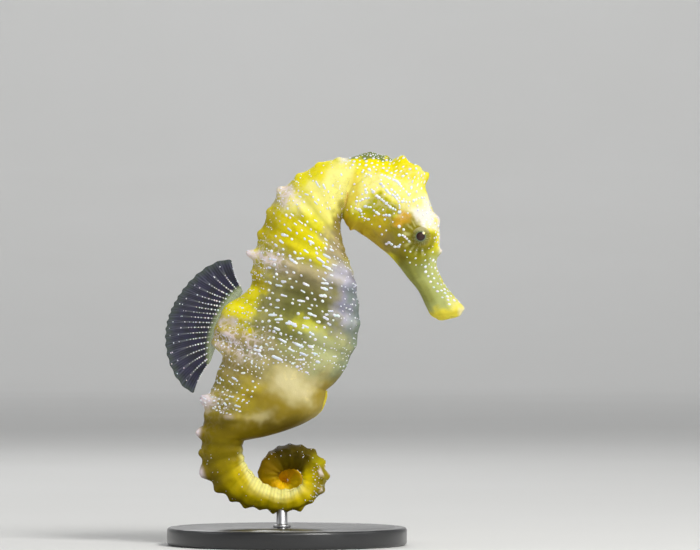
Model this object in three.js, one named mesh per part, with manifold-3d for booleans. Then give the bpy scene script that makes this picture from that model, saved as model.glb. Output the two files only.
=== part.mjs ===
import * as THREE from 'three';
import { mergeVertices } from 'three/addons/utils/BufferGeometryUtils.js';
import Module from 'manifold-3d';

const wasm = await Module();
wasm.setup();

// A seahorse on a display stand. Millimetres, +Z up, head towards +X, right flank towards -Y.
// The animal is one long tube. Its axis number is 0 at the mouth and 8 at the gill opening,
// trunk rings 1 to 11 are centred on 9 to 19, and tail rings 1 to 38 on 20 to 57.
const trunkRings = 11;
const lastTrunkRing = 19;
const fifthTailRing = 24;
const lastTailRing = 57;

// Outline: [axis number, back x, back z, belly x, belly z, half width].
const headSections = [
  [0.0, 29.4, 46.3, 24.5, 45.2, 1.7],
  [0.35, 29.8, 47.4, 23.3, 45.9, 2.4],
  [0.8, 28.7, 48.9, 22.5, 47.4, 2.4],
  [1.5, 26.0, 52.2, 20.9, 50.6, 2.2],
  [2.2, 24.4, 56.0, 18.7, 53.4, 2.3],
  [3.0, 24.9, 59.4, 16.6, 56.1, 3.0],
  [3.6, 25.0, 63.0, 14.8, 58.1, 3.6],
  [4.3, 23.4, 67.8, 12.9, 59.6, 4.2],
  [5.2, 21.5, 72.8, 10.3, 61.6, 4.6],
  [6.0, 18.7, 75.6, 8.5, 62.8, 4.9],
  [7.5, 12.5, 77.4, 6.5, 64.0, 4.7],
];
const trunkSections = [
  [8.4, 8.0, 77.6, 5.8, 65.2, 4.2],
  [9.0, 4.9, 77.2, 5.4, 65.2, 4.1],
  [10.0, 0.7, 76.2, 5.2, 63.4, 4.4],
  [12.0, -6.7, 70.8, 5.9, 59.4, 5.1],
  [13.5, -10.1, 64.4, 7.1, 56.0, 5.8],
  [15.0, -12.0, 58.0, 8.2, 52.0, 6.3],
  [17.0, -12.9, 51.0, 8.9, 44.4, 6.8],
  [18.0, -14.9, 47.0, 8.1, 40.0, 6.8],
  [19.0, -16.7, 42.6, 6.1, 35.8, 6.4],
];
const pouchSections = [
  [19.6, -17.3, 40.4, 3.7, 32.6, 6.2],
  [20.0, -17.9, 38.6, 2.5, 30.8, 6.2],
  [21.0, -19.3, 34.6, 1.3, 26.8, 6.4],
  [22.0, -20.7, 30.6, -2.3, 24.2, 6.1],
  [23.2, -21.9, 26.2, -9.4, 21.8, 5.0],
  [24.0, -22.4, 22.3, -14.2, 20.9, 4.1],
];
const sections = [...headSections, ...trunkSections, ...pouchSections];

// The free tail leaves the fifth tail ring and curls in its own plane: [ring, turn per ring in degrees].
const curlStart = { x: -18.3, z: 21.6, heading: -100 };
const firstRingLength = 2.979;
const ringShrink = 0.9621;
const curl = [
  [5, 12.6],
  [7, 19.2],
  [9, 10.8],
  [11, 8.9],
  [13, 12.3],
  [15, 23.5],
  [17, 29.2],
  [19, 22.7],
  [22, 15.7],
  [25, 25.7],
  [28, 20.8],
  [31, 31.6],
  [34, 37.6],
  [36, 45.0],
  [38, 53.4],
];
// Its girth: [ring, depth, width, roll in degrees, shift towards the right flank].
const tailGirth = [
  [5, 8.3, 8.1, 0.0, 0.0],
  [7, 7.7, 7.4, 10.0, 0.0],
  [9, 6.2, 6.0, 24.0, 0.3],
  [11, 4.4, 4.5, 34.0, 1.0],
  [13, 3.8, 3.9, 34.0, 1.5],
  [15, 4.0, 4.0, 5.0, 0.9],
  [17, 4.6, 4.1, -22.0, -0.8],
  [19, 4.7, 3.9, -38.0, -2.5],
  [22, 4.7, 3.8, -24.0, -4.2],
  [25, 4.1, 3.5, 10.0, -4.8],
  [28, 3.5, 3.1, 34.0, -5.5],
  [31, 3.2, 2.8, 26.0, -6.6],
  [34, 2.7, 2.4, 0.0, -7.7],
  [36, 2.4, 2.2, 0.0, -8.2],
  [38, 1.9, 1.8, 0.0, -8.9],
];

// Bony rings: ridge angles from the back round to the belly keel, in degrees.
const trunkRidges = [15, 75, 135, 180];
const tailRidges = [30, 135];
const ridgeHalfAngle = 10;
const trunkTubercle = 0.45;
const tailTubercle = 0.26;
const tailTipTubercle = 0.12;
const ringSwell = 0.15;
const spineReach = 0.25;
const spineHalfAngle = 9;
// Enlarged tubercles of the back row: [axis number, extra height].
const backSpines = [
  [9, 0.2],
  [12, 0.5],
  [15, 1.3],
  [22.5, 2.5],
  [24, 1.7],
  [26, 1.0],
  [29, 0.5],
  [36, 0.3],
];
// Bumps of the head: [axis number, angle from the back, height, reach along the axis, reach in degrees].
const headBumps = [
  [2.8, 0, 0.7, 0.18, 28],
  [3.9, 14, 0.8, 0.22, 20],
  [3.6, 73, 0.5, 0.75, 34],
  [6.3, 100, 0.7, 1.2, 42],
  [7.35, 168, 0.9, 0.22, 12],
];
const finMound = { from: 16.8, peak: 18.3, to: 20.2, height: 3.2, halfWidth: 2.6, flank: 7 };

const eye = { x: 21.3, y: 2.65, z: 61.6, radius: 2.4, gap: 0.12 };
const coronet = {
  x: 19.3,
  z: 75.15,
  lean: 34,
  radius: 3.0,
  points: 5,
  rim: 1.0,
  point: 0.45,
  flare: 0.1,
  dish: 0.5,
  root: 3.4,
};
const finThickness = 0.6;
const dorsalRays = 19;
const pectoralRays = 16;
const analRays = 4;
const skinGap = 0.12;
const cutHalf = 0.04;
const sides = 24;
const headStep = 0.4;
const ringStep = 0.5;

const stand = {
  x: -5.5,
  radius: 24,
  height: 3.6,
  bevel: 0.7,
  rodX: -6.5,
  rodY: -1.3,
  rodRadius: 1.1,
  rodBlankTop: 11,
  socketGap: 0.05,
};

const yellow = new THREE.Color(0.72, 0.66, 0.04);
const olive = new THREE.Color(0.33, 0.35, 0.12);
const paleGrey = new THREE.Color(0.45, 0.46, 0.42);
const beige = new THREE.Color(0.55, 0.4, 0.1);

const radians = THREE.MathUtils.degToRad;
const mix = THREE.MathUtils.lerp;
const clamp = THREE.MathUtils.clamp;
const bell = (distance) => Math.exp(-distance * distance);
const smooth = (low, high, value) => THREE.MathUtils.smoothstep(value, low, high);

// Smooth curve through keyed rows, whatever the spacing of the keys.
function along(rows, key) {
  const last = rows.length - 1;
  const at = clamp(key, rows[0][0], rows[last][0]);
  let index = 0;
  while (index < last - 1 && at > rows[index + 1][0]) index += 1;
  const slope = (row, column) => {
    const before = rows[Math.max(row - 1, 0)];
    const after = rows[Math.min(row + 1, last)];
    return (after[column] - before[column]) / (after[0] - before[0]);
  };
  const [from, to] = [rows[index], rows[index + 1]];
  const span = to[0] - from[0];
  const t = (at - from[0]) / span;
  return from.slice(1).map((value, offset) => {
    const column = offset + 1;
    const start = (2 * t ** 3 - 3 * t ** 2 + 1) * value;
    const leave = (t ** 3 - 2 * t ** 2 + t) * span * slope(index, column);
    const end = (3 * t ** 2 - 2 * t ** 3) * to[column];
    const arrive = (t ** 3 - t ** 2) * span * slope(index + 1, column);
    return start + leave + end + arrive;
  });
}

// The curled part of the axis, walked in small steps.
const stepsPerRing = 20;
const tailPath = walkTail();

function walkTail() {
  const points = [{ x: curlStart.x, z: curlStart.z, heading: curlStart.heading }];
  const rings = lastTailRing - fifthTailRing;
  for (let step = 0; step < rings * stepsPerRing; step += 1) {
    const ring = 5 + step / stepsPerRing;
    const { x, z, heading } = points[step];
    const length = (firstRingLength * ringShrink ** (ring - 5)) / stepsPerRing;
    points.push({
      x: x + length * Math.cos(radians(heading)),
      z: z + length * Math.sin(radians(heading)),
      heading: heading + along(curl, ring)[0] / stepsPerRing,
    });
  }
  return points;
}

// Centre, half-depth vector towards the back and half-width vector towards the right flank.
function frameAt(axis) {
  if (axis <= fifthTailRing) {
    const [backX, backZ, bellyX, bellyZ, halfWidth] = along(sections, axis);
    return {
      centre: new THREE.Vector3((backX + bellyX) / 2, 0, (backZ + bellyZ) / 2),
      back: new THREE.Vector3((backX - bellyX) / 2, 0, (backZ - bellyZ) / 2),
      flank: new THREE.Vector3(0, -halfWidth, 0),
    };
  }
  const [depth, width, roll, shift] = along(tailGirth, axis - lastTrunkRing);
  const step = Math.min((axis - fifthTailRing) * stepsPerRing, tailPath.length - 1.001);
  const [from, to] = [tailPath[Math.floor(step)], tailPath[Math.floor(step) + 1]];
  const part = step % 1;
  const heading = radians(mix(from.heading, to.heading, part));
  const outward = new THREE.Vector3(Math.sin(heading), 0, -Math.cos(heading));
  const right = new THREE.Vector3(0, -1, 0);
  const turn = radians(roll);
  const back = outward.clone().multiplyScalar(Math.cos(turn)).addScaledVector(right, -Math.sin(turn));
  const flank = right.clone().multiplyScalar(Math.cos(turn)).addScaledVector(outward, Math.sin(turn));
  return {
    centre: new THREE.Vector3(mix(from.x, to.x, part), -shift, mix(from.z, to.z, part)),
    back: back.multiplyScalar(depth / 2),
    flank: flank.multiplyScalar(width / 2),
  };
}

const turnBetween = (a, b) => Math.abs(((((a - b) % 360) + 540) % 360) - 180);

function ridgeAt(ridges, angle) {
  const fromBack = turnBetween(angle, 0);
  return ridges.reduce((sum, ridge) => sum + bell((fromBack - ridge) / ridgeHalfAngle), 0);
}

// Height of the bony relief above the plain section.
function reliefAt(axis, angle) {
  const fromBack = turnBetween(angle, 0);
  const onTrunk = smooth(8.2, 9, axis);
  const onTail = smooth(19, 22, axis);
  const towardsTip = clamp((axis - fifthTailRing) / (lastTailRing - fifthTailRing), 0, 1);
  const ringCentre = Math.cos(Math.PI * (axis - Math.round(axis))) ** 2;
  const tubercle = mix(trunkTubercle, mix(tailTubercle, tailTipTubercle, towardsTip), onTail);
  const ridge = mix(ridgeAt(trunkRidges, angle), ridgeAt(tailRidges, angle), onTail);
  const pouch = smooth(19.4, 20.2, axis) * (1 - smooth(23.2, 24.4, axis)) * smooth(70, 100, fromBack);
  const rings = onTrunk * ringCentre * (tubercle * ridge + ringSwell * (1 - towardsTip)) * (1 - pouch);
  const spineAngle = mix(trunkRidges[0], tailRidges[0], onTail);
  const spineAcross = bell((fromBack - spineAngle) / spineHalfAngle);
  const spines = backSpines.reduce(
    (sum, [at, height]) => sum + height * bell((axis - at) / spineReach) * spineAcross,
    0,
  );
  const bumps = headBumps.reduce(
    (sum, [at, turn, height, reach, spread]) =>
      sum + height * bell((axis - at) / reach) * bell((fromBack - turn) / spread),
    0,
  );
  const fall = 1 - smooth(finMound.to - 0.5, finMound.to, axis);
  const rise = smooth(finMound.from, finMound.peak, axis) * fall;
  const aside = Math.sin(radians(Math.min(fromBack, 90))) * finMound.flank;
  const mound = finMound.height * rise * bell(aside / finMound.halfWidth);
  return rings + spines + bumps + mound;
}

// Point on the body. Rounder on the head, squarer on the ringed tail.
function bodyPoint(axis, angle, grow = 0) {
  const { centre, back, flank } = frameAt(axis);
  const power = 2 / mix(2.15, 2.7, smooth(20, 25, axis));
  const cos = Math.cos(radians(angle));
  const sin = Math.sin(radians(angle));
  const offset = back
    .multiplyScalar(Math.sign(cos) * Math.abs(cos) ** power)
    .addScaledVector(flank, Math.sign(sin) * Math.abs(sin) ** power);
  const rise = reliefAt(axis, angle) + grow;
  return centre.add(offset.setLength(offset.length() + rise));
}

// Closed solid from a grid of rows of points, each row a closed loop, with a fan at each end.
function loopSolid(rows) {
  const count = rows[0].length;
  const points = rows.flat();
  const faces = [];
  for (let row = 0; row < rows.length - 1; row += 1) {
    for (let column = 0; column < count; column += 1) {
      const next = (column + 1) % count;
      const [a, b] = [row * count + column, row * count + next];
      const [c, d] = [a + count, b + count];
      faces.push(a, b, d, a, d, c);
    }
  }
  const middle = (row) => row.reduce((sum, p) => sum.add(p), new THREE.Vector3()).divideScalar(count);
  const [start, end] = [points.length, points.length + 1];
  points.push(middle(rows[0]), middle(rows.at(-1)));
  const lastRow = (rows.length - 1) * count;
  for (let column = 0; column < count; column += 1) {
    const next = (column + 1) % count;
    faces.push(start, next, column, end, lastRow + column, lastRow + next);
  }
  return outwardGeometry(points, faces);
}

function outwardGeometry(points, faces) {
  let volume = 0;
  for (let at = 0; at < faces.length; at += 3) {
    const [a, b, c] = [0, 1, 2].map((corner) => points[faces[at + corner]]);
    volume += a.dot(b.clone().cross(c));
  }
  const order = volume < 0 ? faces.toReversed() : faces;
  const geometry = new THREE.BufferGeometry().setFromPoints(points);
  geometry.setIndex(order);
  return geometry;
}

// Lengths of the body's tube. Ring centres and ring borders both get a row of points.
function tubeRows(from, to, grow = 0) {
  const stops = [from];
  let stop = from;
  while (stop < to) {
    const step = stop < lastTrunkRing - trunkRings ? headStep : ringStep;
    stop = (Math.floor(stop / step + 1e-6) + 1) * step;
    if (to - stop < step * 0.3) stop = to;
    stops.push(Math.min(stop, to));
  }
  const angles = Array.from({ length: sides }, (_, side) => (side * 360) / sides);
  return stops.map((axis) => angles.map((angle) => bodyPoint(axis, angle, grow)));
}

// Where the body is parted, in axis numbers.
const snoutEnd = 2.4;
const headEnd = 8.1;
const neckEnd = 11.5;
const chestEnd = 15.5;
const trunkEnd = 19.5;
const tailBaseEnd = 24.5;
const tailCuts = [tailBaseEnd, 28.5, 32.5, 36.5, 42.5, 48.5, lastTailRing];

function bodyLength(from, to) {
  return loopSolid(tubeRows(from + cutHalf, to - cutHalf));
}

function toSolid(geometry) {
  const plain = geometry.clone();
  plain.deleteAttribute('normal');
  plain.deleteAttribute('uv');
  const welded = mergeVertices(plain, 1e-5);
  const mesh = new wasm.Mesh({
    numProp: 3,
    vertProperties: new Float32Array(welded.attributes.position.array),
    triVerts: new Uint32Array(welded.index.array),
  });
  return new wasm.Manifold(mesh);
}

function toGeometry(solid) {
  const mesh = solid.getMesh();
  const geometry = new THREE.BufferGeometry();
  geometry.setAttribute('position', new THREE.BufferAttribute(new Float32Array(mesh.vertProperties), 3));
  geometry.setIndex(new THREE.BufferAttribute(new Uint32Array(mesh.triVerts), 1));
  return geometry;
}

const largestBody = (solid) => solid.decompose().sort((a, b) => b.volume() - a.volume())[0];

function cutAway(geometry, ...tools) {
  const cut = tools.reduce((solid, tool) => solid.subtract(toSolid(tool)), toSolid(geometry));
  return toGeometry(largestBody(cut));
}

const grownBody = (from, to) => loopSolid(tubeRows(from, to, skinGap));

// Eyes: whole balls, each in a socket a little wider than itself.
function eyeBall(side, grow = 0) {
  const ball = new THREE.SphereGeometry(eye.radius + grow, 18, 10);
  ball.rotateX(Math.PI / 2);
  return ball.translate(eye.x, side * eye.y, eye.z);
}

// Coronet: a low crown with a dished top, leaning forward, cut to sit on the skull.
function coronetSolid() {
  const { radius, rim, point, dish, root } = coronet;
  const profile = [
    [0, -root],
    [radius * 0.8, -root],
    [radius * 0.82, 0],
    [radius, rim],
    [radius * 0.72, rim],
    [radius * 0.4, dish],
    [0, dish],
  ];
  const around = coronet.points * 6;
  const lathe = new THREE.LatheGeometry(profile.map(([r, h]) => new THREE.Vector2(r, h)), around);
  const position = lathe.attributes.position;
  for (let at = 0; at < position.count; at += 1) {
    const [x, h, z] = [position.getX(at), position.getY(at), position.getZ(at)];
    const turn = Math.atan2(z, x);
    const star = ((1 + Math.cos(turn * coronet.points)) / 2) ** 1.5;
    const raised = h >= rim - 0.01 ? star : 0;
    const spread = 1 + coronet.flare * raised;
    position.setXYZ(at, x * spread, h + point * raised, z * spread);
  }
  lathe.rotateX(Math.PI / 2);
  lathe.rotateY(radians(coronet.lean));
  lathe.translate(coronet.x, 0, coronet.z);
  return cutAway(lathe, grownBody(snoutEnd, headEnd + 0.3));
}

// Fins: a thin plate over fanned rays, each ray a root and a tip.
function finPlate(rays, normal) {
  const half = normal.clone().setLength(finThickness / 2);
  const near = rays.map(({ root, tip }) => [root.clone().add(half), tip.clone().add(half)]);
  const far = rays.map(({ root, tip }) => [root.clone().sub(half), tip.clone().sub(half)]);
  return loopSolid(near.map(([root, tip], ray) => [root, tip, far[ray][1], far[ray][0]]));
}

const dorsalFin = {
  front: new THREE.Vector3(-14.6, 0, 51.4),
  bulge: new THREE.Vector3(-20.6, 0, 46.6),
  rear: new THREE.Vector3(-21.0, 0, 36.4),
  middleAngle: 176,
  spread: 66,
  frontRay: 5.8,
  rearRay: 6.6,
  middleRay: 3.7,
  rootDepth: 2.5,
};

function dorsalFinRays() {
  const base = new THREE.QuadraticBezierCurve3(dorsalFin.front, dorsalFin.bulge, dorsalFin.rear);
  return Array.from({ length: dorsalRays }, (_, ray) => {
    const part = ray / (dorsalRays - 1);
    const across = 2 * part - 1;
    const angle = radians(dorsalFin.middleAngle + dorsalFin.spread * (0.35 * across + 0.65 * across ** 3));
    const grown = Math.sin(Math.PI * part) ** 0.6;
    const length = mix(dorsalFin.frontRay, dorsalFin.rearRay, part) + dorsalFin.middleRay * grown;
    const direction = new THREE.Vector3(Math.cos(angle), 0, Math.sin(angle));
    const start = base.getPoint(part);
    const inward = new THREE.Vector3(1, 0, 0.1).setLength(dorsalFin.rootDepth * mix(0.45, 1, grown));
    return { root: start.clone().add(inward), tip: start.addScaledVector(direction, length) };
  });
}

function dorsalFinSolid() {
  const plate = finPlate(dorsalFinRays(), new THREE.Vector3(0, 1, 0));
  return cutAway(plate, grownBody(chestEnd - 1, tailBaseEnd - 1));
}

const pectoralFin = {
  axis: 8.3,
  from: 78,
  to: 124,
  length: 4.0,
  rootDepth: 0.6,
  sweep: 26,
  rise: 24,
  fall: -24,
};

function pectoralFinSolid(side) {
  const outward = new THREE.Vector3(0, side, 0);
  const rays = Array.from({ length: pectoralRays }, (_, ray) => {
    const part = ray / (pectoralRays - 1);
    const turn = mix(pectoralFin.from, pectoralFin.to, part);
    const root = bodyPoint(pectoralFin.axis, -side * turn, -pectoralFin.rootDepth);
    const fan = radians(mix(pectoralFin.rise, pectoralFin.fall, part));
    const direction = new THREE.Vector3(-Math.cos(fan), 0, Math.sin(fan));
    direction.multiplyScalar(Math.cos(radians(pectoralFin.sweep)));
    direction.addScaledVector(outward, Math.sin(radians(pectoralFin.sweep)));
    const length = pectoralFin.length * (0.75 + 0.25 * Math.sin(Math.PI * part)) + pectoralFin.rootDepth;
    return { root, tip: root.clone().addScaledVector(direction, length) };
  });
  const spine = rays.at(-1).root.clone().sub(rays[0].root);
  const middle = rays[Math.floor(pectoralRays / 2)];
  const normal = middle.tip.clone().sub(middle.root).cross(spine).normalize();
  return cutAway(finPlate(rays, normal), grownBody(headEnd - 2, neckEnd));
}

const analFin = { from: 19.6, to: 20.8, length: 0.7, rootDepth: 0.8, angle: -8, turn: -25 };

function analFinSolid() {
  const rays = Array.from({ length: analRays }, (_, ray) => {
    const part = ray / (analRays - 1);
    const axis = mix(analFin.from, analFin.to, part);
    const lean = radians(analFin.angle + analFin.turn * part);
    const direction = new THREE.Vector3(Math.cos(lean), 0, Math.sin(lean));
    const length = analFin.length * (0.55 + 0.45 * Math.sin(Math.PI * Math.min(part + 0.25, 1)));
    return {
      root: bodyPoint(axis, 180, -analFin.rootDepth),
      tip: bodyPoint(axis, 180).addScaledVector(direction, length),
    };
  });
  const plate = finPlate(rays, new THREE.Vector3(0, 1, 0));
  return cutAway(plate, grownBody(trunkEnd - 2, tailBaseEnd - 1));
}

// The brood pouch is the belly side of the first tail rings, parted from the tail along this line.
const pouchLine = [
  new THREE.Vector3(8, 0, 36),
  new THREE.Vector3(-3, 0, 34.6),
  new THREE.Vector3(-9, 0, 32.8),
  new THREE.Vector3(-12.2, 0, 27.8),
  new THREE.Vector3(-13.4, 0, 24),
  new THREE.Vector3(-14.2, 0, 19.4),
];
const pouchGap = 0.2;
const pouchWallReach = { x: 20, low: 10, high: 40, depth: 40 };

function pouchWall(shift) {
  const line = new THREE.CatmullRomCurve3(pouchLine).getPoints(24);
  const shape = new THREE.Shape(line.map((point) => new THREE.Vector2(point.x - shift, point.z + shift)));
  shape.lineTo(pouchWallReach.x, pouchWallReach.low);
  shape.lineTo(pouchWallReach.x, pouchWallReach.high);
  const wall = new THREE.ExtrudeGeometry(shape, { depth: pouchWallReach.depth, bevelEnabled: false });
  wall.rotateX(Math.PI / 2);
  return wall.translate(0, pouchWallReach.depth / 2, 0);
}

function pouchAndTailBase() {
  const whole = toSolid(bodyLength(trunkEnd, tailBaseEnd));
  const pouch = whole.intersect(toSolid(pouchWall(0)));
  const tailBase = whole.subtract(toSolid(pouchWall(pouchGap)));
  return [toGeometry(largestBody(pouch)), toGeometry(largestBody(tailBase))];
}

// The stretch of the tail that passes over the rod.
const lowestLoop = [26, 35];

// Stand: a bevelled disc and one short rod, hollowed at its top to carry the underside of the tail.
function standBase() {
  const { radius, height, bevel } = stand;
  const profile = [
    [0, 0],
    [radius - bevel, 0],
    [radius, bevel],
    [radius, height - bevel],
    [radius - bevel, height],
    [0, height],
  ];
  const disc = new THREE.LatheGeometry(profile.map(([r, h]) => new THREE.Vector2(r, h)), 48);
  disc.rotateX(Math.PI / 2);
  return disc.translate(stand.x, 0, 0);
}

function standRod() {
  const bottom = stand.height + stand.socketGap;
  const length = stand.rodBlankTop - bottom;
  const rod = new THREE.CylinderGeometry(stand.rodRadius, stand.rodRadius, length, 24);
  rod.rotateX(Math.PI / 2);
  rod.translate(stand.rodX, stand.rodY, bottom + length / 2);
  const cut = toSolid(rod).subtract(toSolid(loopSolid(tubeRows(...lowestLoop, stand.socketGap))));
  const lowest = cut.decompose().sort((a, b) => a.boundingBox().min[2] - b.boundingBox().min[2])[0];
  return toGeometry(lowest);
}

const finish = (color, roughness, metalness = 0) =>
  new THREE.MeshStandardMaterial({ color, roughness, metalness });
const skin = (color) => finish(color, 0.45);
const finSkin = finish(new THREE.Color(0.35, 0.36, 0.55), 0.3);
const eyeShine = finish(new THREE.Color(0.14, 0.13, 0.04), 0.08);
const lacquer = finish(new THREE.Color(0.02, 0.02, 0.022), 0.35);
const steel = finish(new THREE.Color(0.55, 0.55, 0.56), 0.3, 1);

const model = new THREE.Group();

function addPart(name, geometry, material) {
  const mesh = new THREE.Mesh(geometry, material);
  mesh.name = name;
  model.add(mesh);
}

const [pouch, tailBase] = pouchAndTailBase();
const sockets = [-1, 1].map((side) => eyeBall(side, eye.gap));

addPart('snout', bodyLength(0, snoutEnd), skin(yellow));
addPart('head', cutAway(bodyLength(snoutEnd, headEnd), ...sockets), skin(yellow));
addPart('coronet', coronetSolid(), skin(yellow));
addPart('eye_right', eyeBall(-1), eyeShine);
addPart('eye_left', eyeBall(1), eyeShine);
addPart('neck', bodyLength(headEnd, neckEnd), skin(yellow));
addPart('trunk_upper', bodyLength(neckEnd, chestEnd), skin(olive));
addPart('trunk_lower', bodyLength(chestEnd, trunkEnd), skin(paleGrey));
addPart('pectoral_fin_right', pectoralFinSolid(-1), finSkin);
addPart('pectoral_fin_left', pectoralFinSolid(1), finSkin);
addPart('dorsal_fin', dorsalFinSolid(), finSkin);
addPart('anal_fin', analFinSolid(), finSkin);
addPart('pouch', pouch, skin(beige));
addPart('tail_base', tailBase, skin(yellow));
tailCuts.slice(0, -1).forEach((from, length) => {
  addPart(`tail_${length + 1}`, bodyLength(from, tailCuts[length + 1]), skin(yellow));
});
addPart('stand_base', standBase(), lacquer);
addPart('stand_rod', standRod(), steel);

export default model;
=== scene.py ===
import math

import bmesh
import bpy
import numpy as np
from mathutils import Matrix, Vector, noise


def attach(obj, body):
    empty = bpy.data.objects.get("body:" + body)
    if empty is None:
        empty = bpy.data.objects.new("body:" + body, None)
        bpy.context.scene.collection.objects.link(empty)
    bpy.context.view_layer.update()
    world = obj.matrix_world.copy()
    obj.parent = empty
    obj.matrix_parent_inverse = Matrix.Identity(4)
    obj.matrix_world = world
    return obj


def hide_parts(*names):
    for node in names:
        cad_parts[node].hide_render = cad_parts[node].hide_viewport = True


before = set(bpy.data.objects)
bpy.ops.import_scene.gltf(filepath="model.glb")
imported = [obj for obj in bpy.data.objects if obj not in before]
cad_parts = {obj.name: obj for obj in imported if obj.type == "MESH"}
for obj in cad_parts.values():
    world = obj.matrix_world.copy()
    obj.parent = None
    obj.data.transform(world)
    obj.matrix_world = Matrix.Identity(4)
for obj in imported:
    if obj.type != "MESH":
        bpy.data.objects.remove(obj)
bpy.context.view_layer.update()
print("frame loaded")

mm = 0.001
right = np.array([0.0, -1.0, 0.0])  # the animal's right flank faces -Y
sides = {"right": -1, "left": 1}

body = {
    "sections": [  # axis number, back x and z, belly x and z, half width, all in mm
        [0.0, 29.4, 46.3, 24.5, 45.2, 1.7],
        [0.35, 29.8, 47.4, 23.3, 45.9, 2.4],
        [0.8, 28.7, 48.9, 22.5, 47.4, 2.4],
        [1.5, 26.0, 52.2, 20.9, 50.6, 2.2],
        [2.2, 24.4, 56.0, 18.7, 53.4, 2.3],
        [3.0, 24.9, 59.4, 16.6, 56.1, 3.0],
        [3.6, 25.0, 63.0, 14.8, 58.1, 3.6],
        [4.3, 23.4, 67.8, 12.9, 59.6, 4.2],
        [5.2, 21.5, 72.8, 10.3, 61.6, 4.6],
        [6.0, 18.7, 75.6, 8.5, 62.8, 4.9],
        [7.5, 12.5, 77.4, 6.5, 64.0, 4.7],
        [8.4, 8.0, 77.6, 5.8, 65.2, 4.2],
        [9.0, 4.9, 77.2, 5.4, 65.2, 4.1],
        [10.0, 0.7, 76.2, 5.2, 63.4, 4.4],
        [12.0, -6.7, 70.8, 5.9, 59.4, 5.1],
        [13.5, -10.1, 64.4, 7.1, 56.0, 5.8],
        [15.0, -12.0, 58.0, 8.2, 52.0, 6.3],
        [17.0, -12.9, 51.0, 8.9, 44.4, 6.8],
        [18.0, -14.9, 47.0, 8.1, 40.0, 6.8],
        [19.0, -16.7, 42.6, 6.1, 35.8, 6.4],
        [19.6, -17.3, 40.4, 3.7, 32.6, 6.2],
        [20.0, -17.9, 38.6, 2.5, 30.8, 6.2],
        [21.0, -19.3, 34.6, 1.3, 26.8, 6.4],
        [22.0, -20.7, 30.6, -2.3, 24.2, 6.1],
        [23.2, -21.9, 26.2, -9.4, 21.8, 5.0],
        [24.0, -22.4, 22.3, -14.2, 20.9, 4.1],
    ],
    "curl": [  # tail ring, turn per ring in degrees
        [5, 12.6],
        [7, 19.2],
        [9, 10.8],
        [11, 8.9],
        [13, 12.3],
        [15, 23.5],
        [17, 29.2],
        [19, 22.7],
        [22, 15.7],
        [25, 25.7],
        [28, 20.8],
        [31, 31.6],
        [34, 37.6],
        [36, 45.0],
        [38, 53.4],
    ],
    "curlStart": (-18.3, 21.6, -100.0),  # x, z and heading of the fifth tail ring
    "ringLength": 2.979,
    "ringShrink": 0.9621,
    "girth": [  # tail ring, depth, width, roll in degrees, shift towards the right flank
        [5, 8.3, 8.1, 0.0, 0.0],
        [7, 7.7, 7.4, 10.0, 0.0],
        [9, 6.2, 6.0, 24.0, 0.3],
        [11, 4.4, 4.5, 34.0, 1.0],
        [13, 3.8, 3.9, 34.0, 1.5],
        [15, 4.0, 4.0, 5.0, 0.9],
        [17, 4.6, 4.1, -22.0, -0.8],
        [19, 4.7, 3.9, -38.0, -2.5],
        [22, 4.7, 3.8, -24.0, -4.2],
        [25, 4.1, 3.5, 10.0, -4.8],
        [28, 3.5, 3.1, 34.0, -5.5],
        [31, 3.2, 2.8, 26.0, -6.6],
        [34, 2.7, 2.4, 0.0, -7.7],
        [36, 2.4, 2.2, 0.0, -8.2],
        [38, 1.9, 1.8, 0.0, -8.9],
    ],
    "tailRingOffset": 19,
    "tailJoin": 24,
    "tailTip": 57,
    "mouthCap": 0.4,  # length of the rounded ends, in axis numbers
    "tipCap": 0.6,
    "lipReach": 0.7,
    "tipReach": 0.7,
    "tipHook": 0.7,
    "headPower": 2.15,  # 2 is an ellipse, and more is squarer
    "tailPower": 2.7,
    "gape": 0.3,
}


def smoothStep(low, high, value):
    t = np.clip((np.asarray(value, float) - low) / (high - low), 0, 1)
    return t * t * (3 - 2 * t)


def between(rise, fall, value):  # 1 between two soft edges, each from one value to another
    return smoothStep(*rise, value) * (1 - smoothStep(*fall, value))


def bell(distance):
    return np.exp(-np.square(distance))


def alongRows(rows, keys):  # smooth curve through keyed rows
    table = np.array(rows, float)
    knots, values = table[:, 0], table[:, 1:]
    slopes = np.empty_like(values)
    slopes[1:-1] = (values[2:] - values[:-2]) / (knots[2:] - knots[:-2])[:, None]
    slopes[0] = (values[1] - values[0]) / (knots[1] - knots[0])
    slopes[-1] = (values[-1] - values[-2]) / (knots[-1] - knots[-2])
    at = np.clip(np.asarray(keys, float), knots[0], knots[-1])
    i = np.clip(np.searchsorted(knots, at, side="right") - 1, 0, len(knots) - 2)
    span = (knots[i + 1] - knots[i])[:, None]
    t = (at - knots[i])[:, None] / span
    start = (2 * t**3 - 3 * t**2 + 1) * values[i] + (t**3 - 2 * t**2 + t) * span * slopes[i]
    end = (3 * t**2 - 2 * t**3) * values[i + 1] + (t**3 - t**2) * span * slopes[i + 1]
    return start + end


def walkTail(stepsPerRing=20):  # tail ring, x, z and heading of the curled axis, in small steps
    count = (body["tailTip"] - body["tailJoin"]) * stepsPerRing + 1
    rings = 5 + np.arange(count) / stepsPerRing
    x, z, heading = body["curlStart"]
    turns = alongRows(body["curl"], rings)[:, 0] / stepsPerRing
    headings = heading + np.concatenate([[0], np.cumsum(turns[:-1])])
    lengths = body["ringLength"] * body["ringShrink"] ** (rings - 5) / stepsPerRing
    moveX = lengths * np.cos(np.radians(headings))
    moveZ = lengths * np.sin(np.radians(headings))
    xs = x + np.concatenate([[0], np.cumsum(moveX[:-1])])
    zs = z + np.concatenate([[0], np.cumsum(moveZ[:-1])])
    return np.stack([rings, xs, zs, headings], 1)


tailPath = walkTail()


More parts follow.
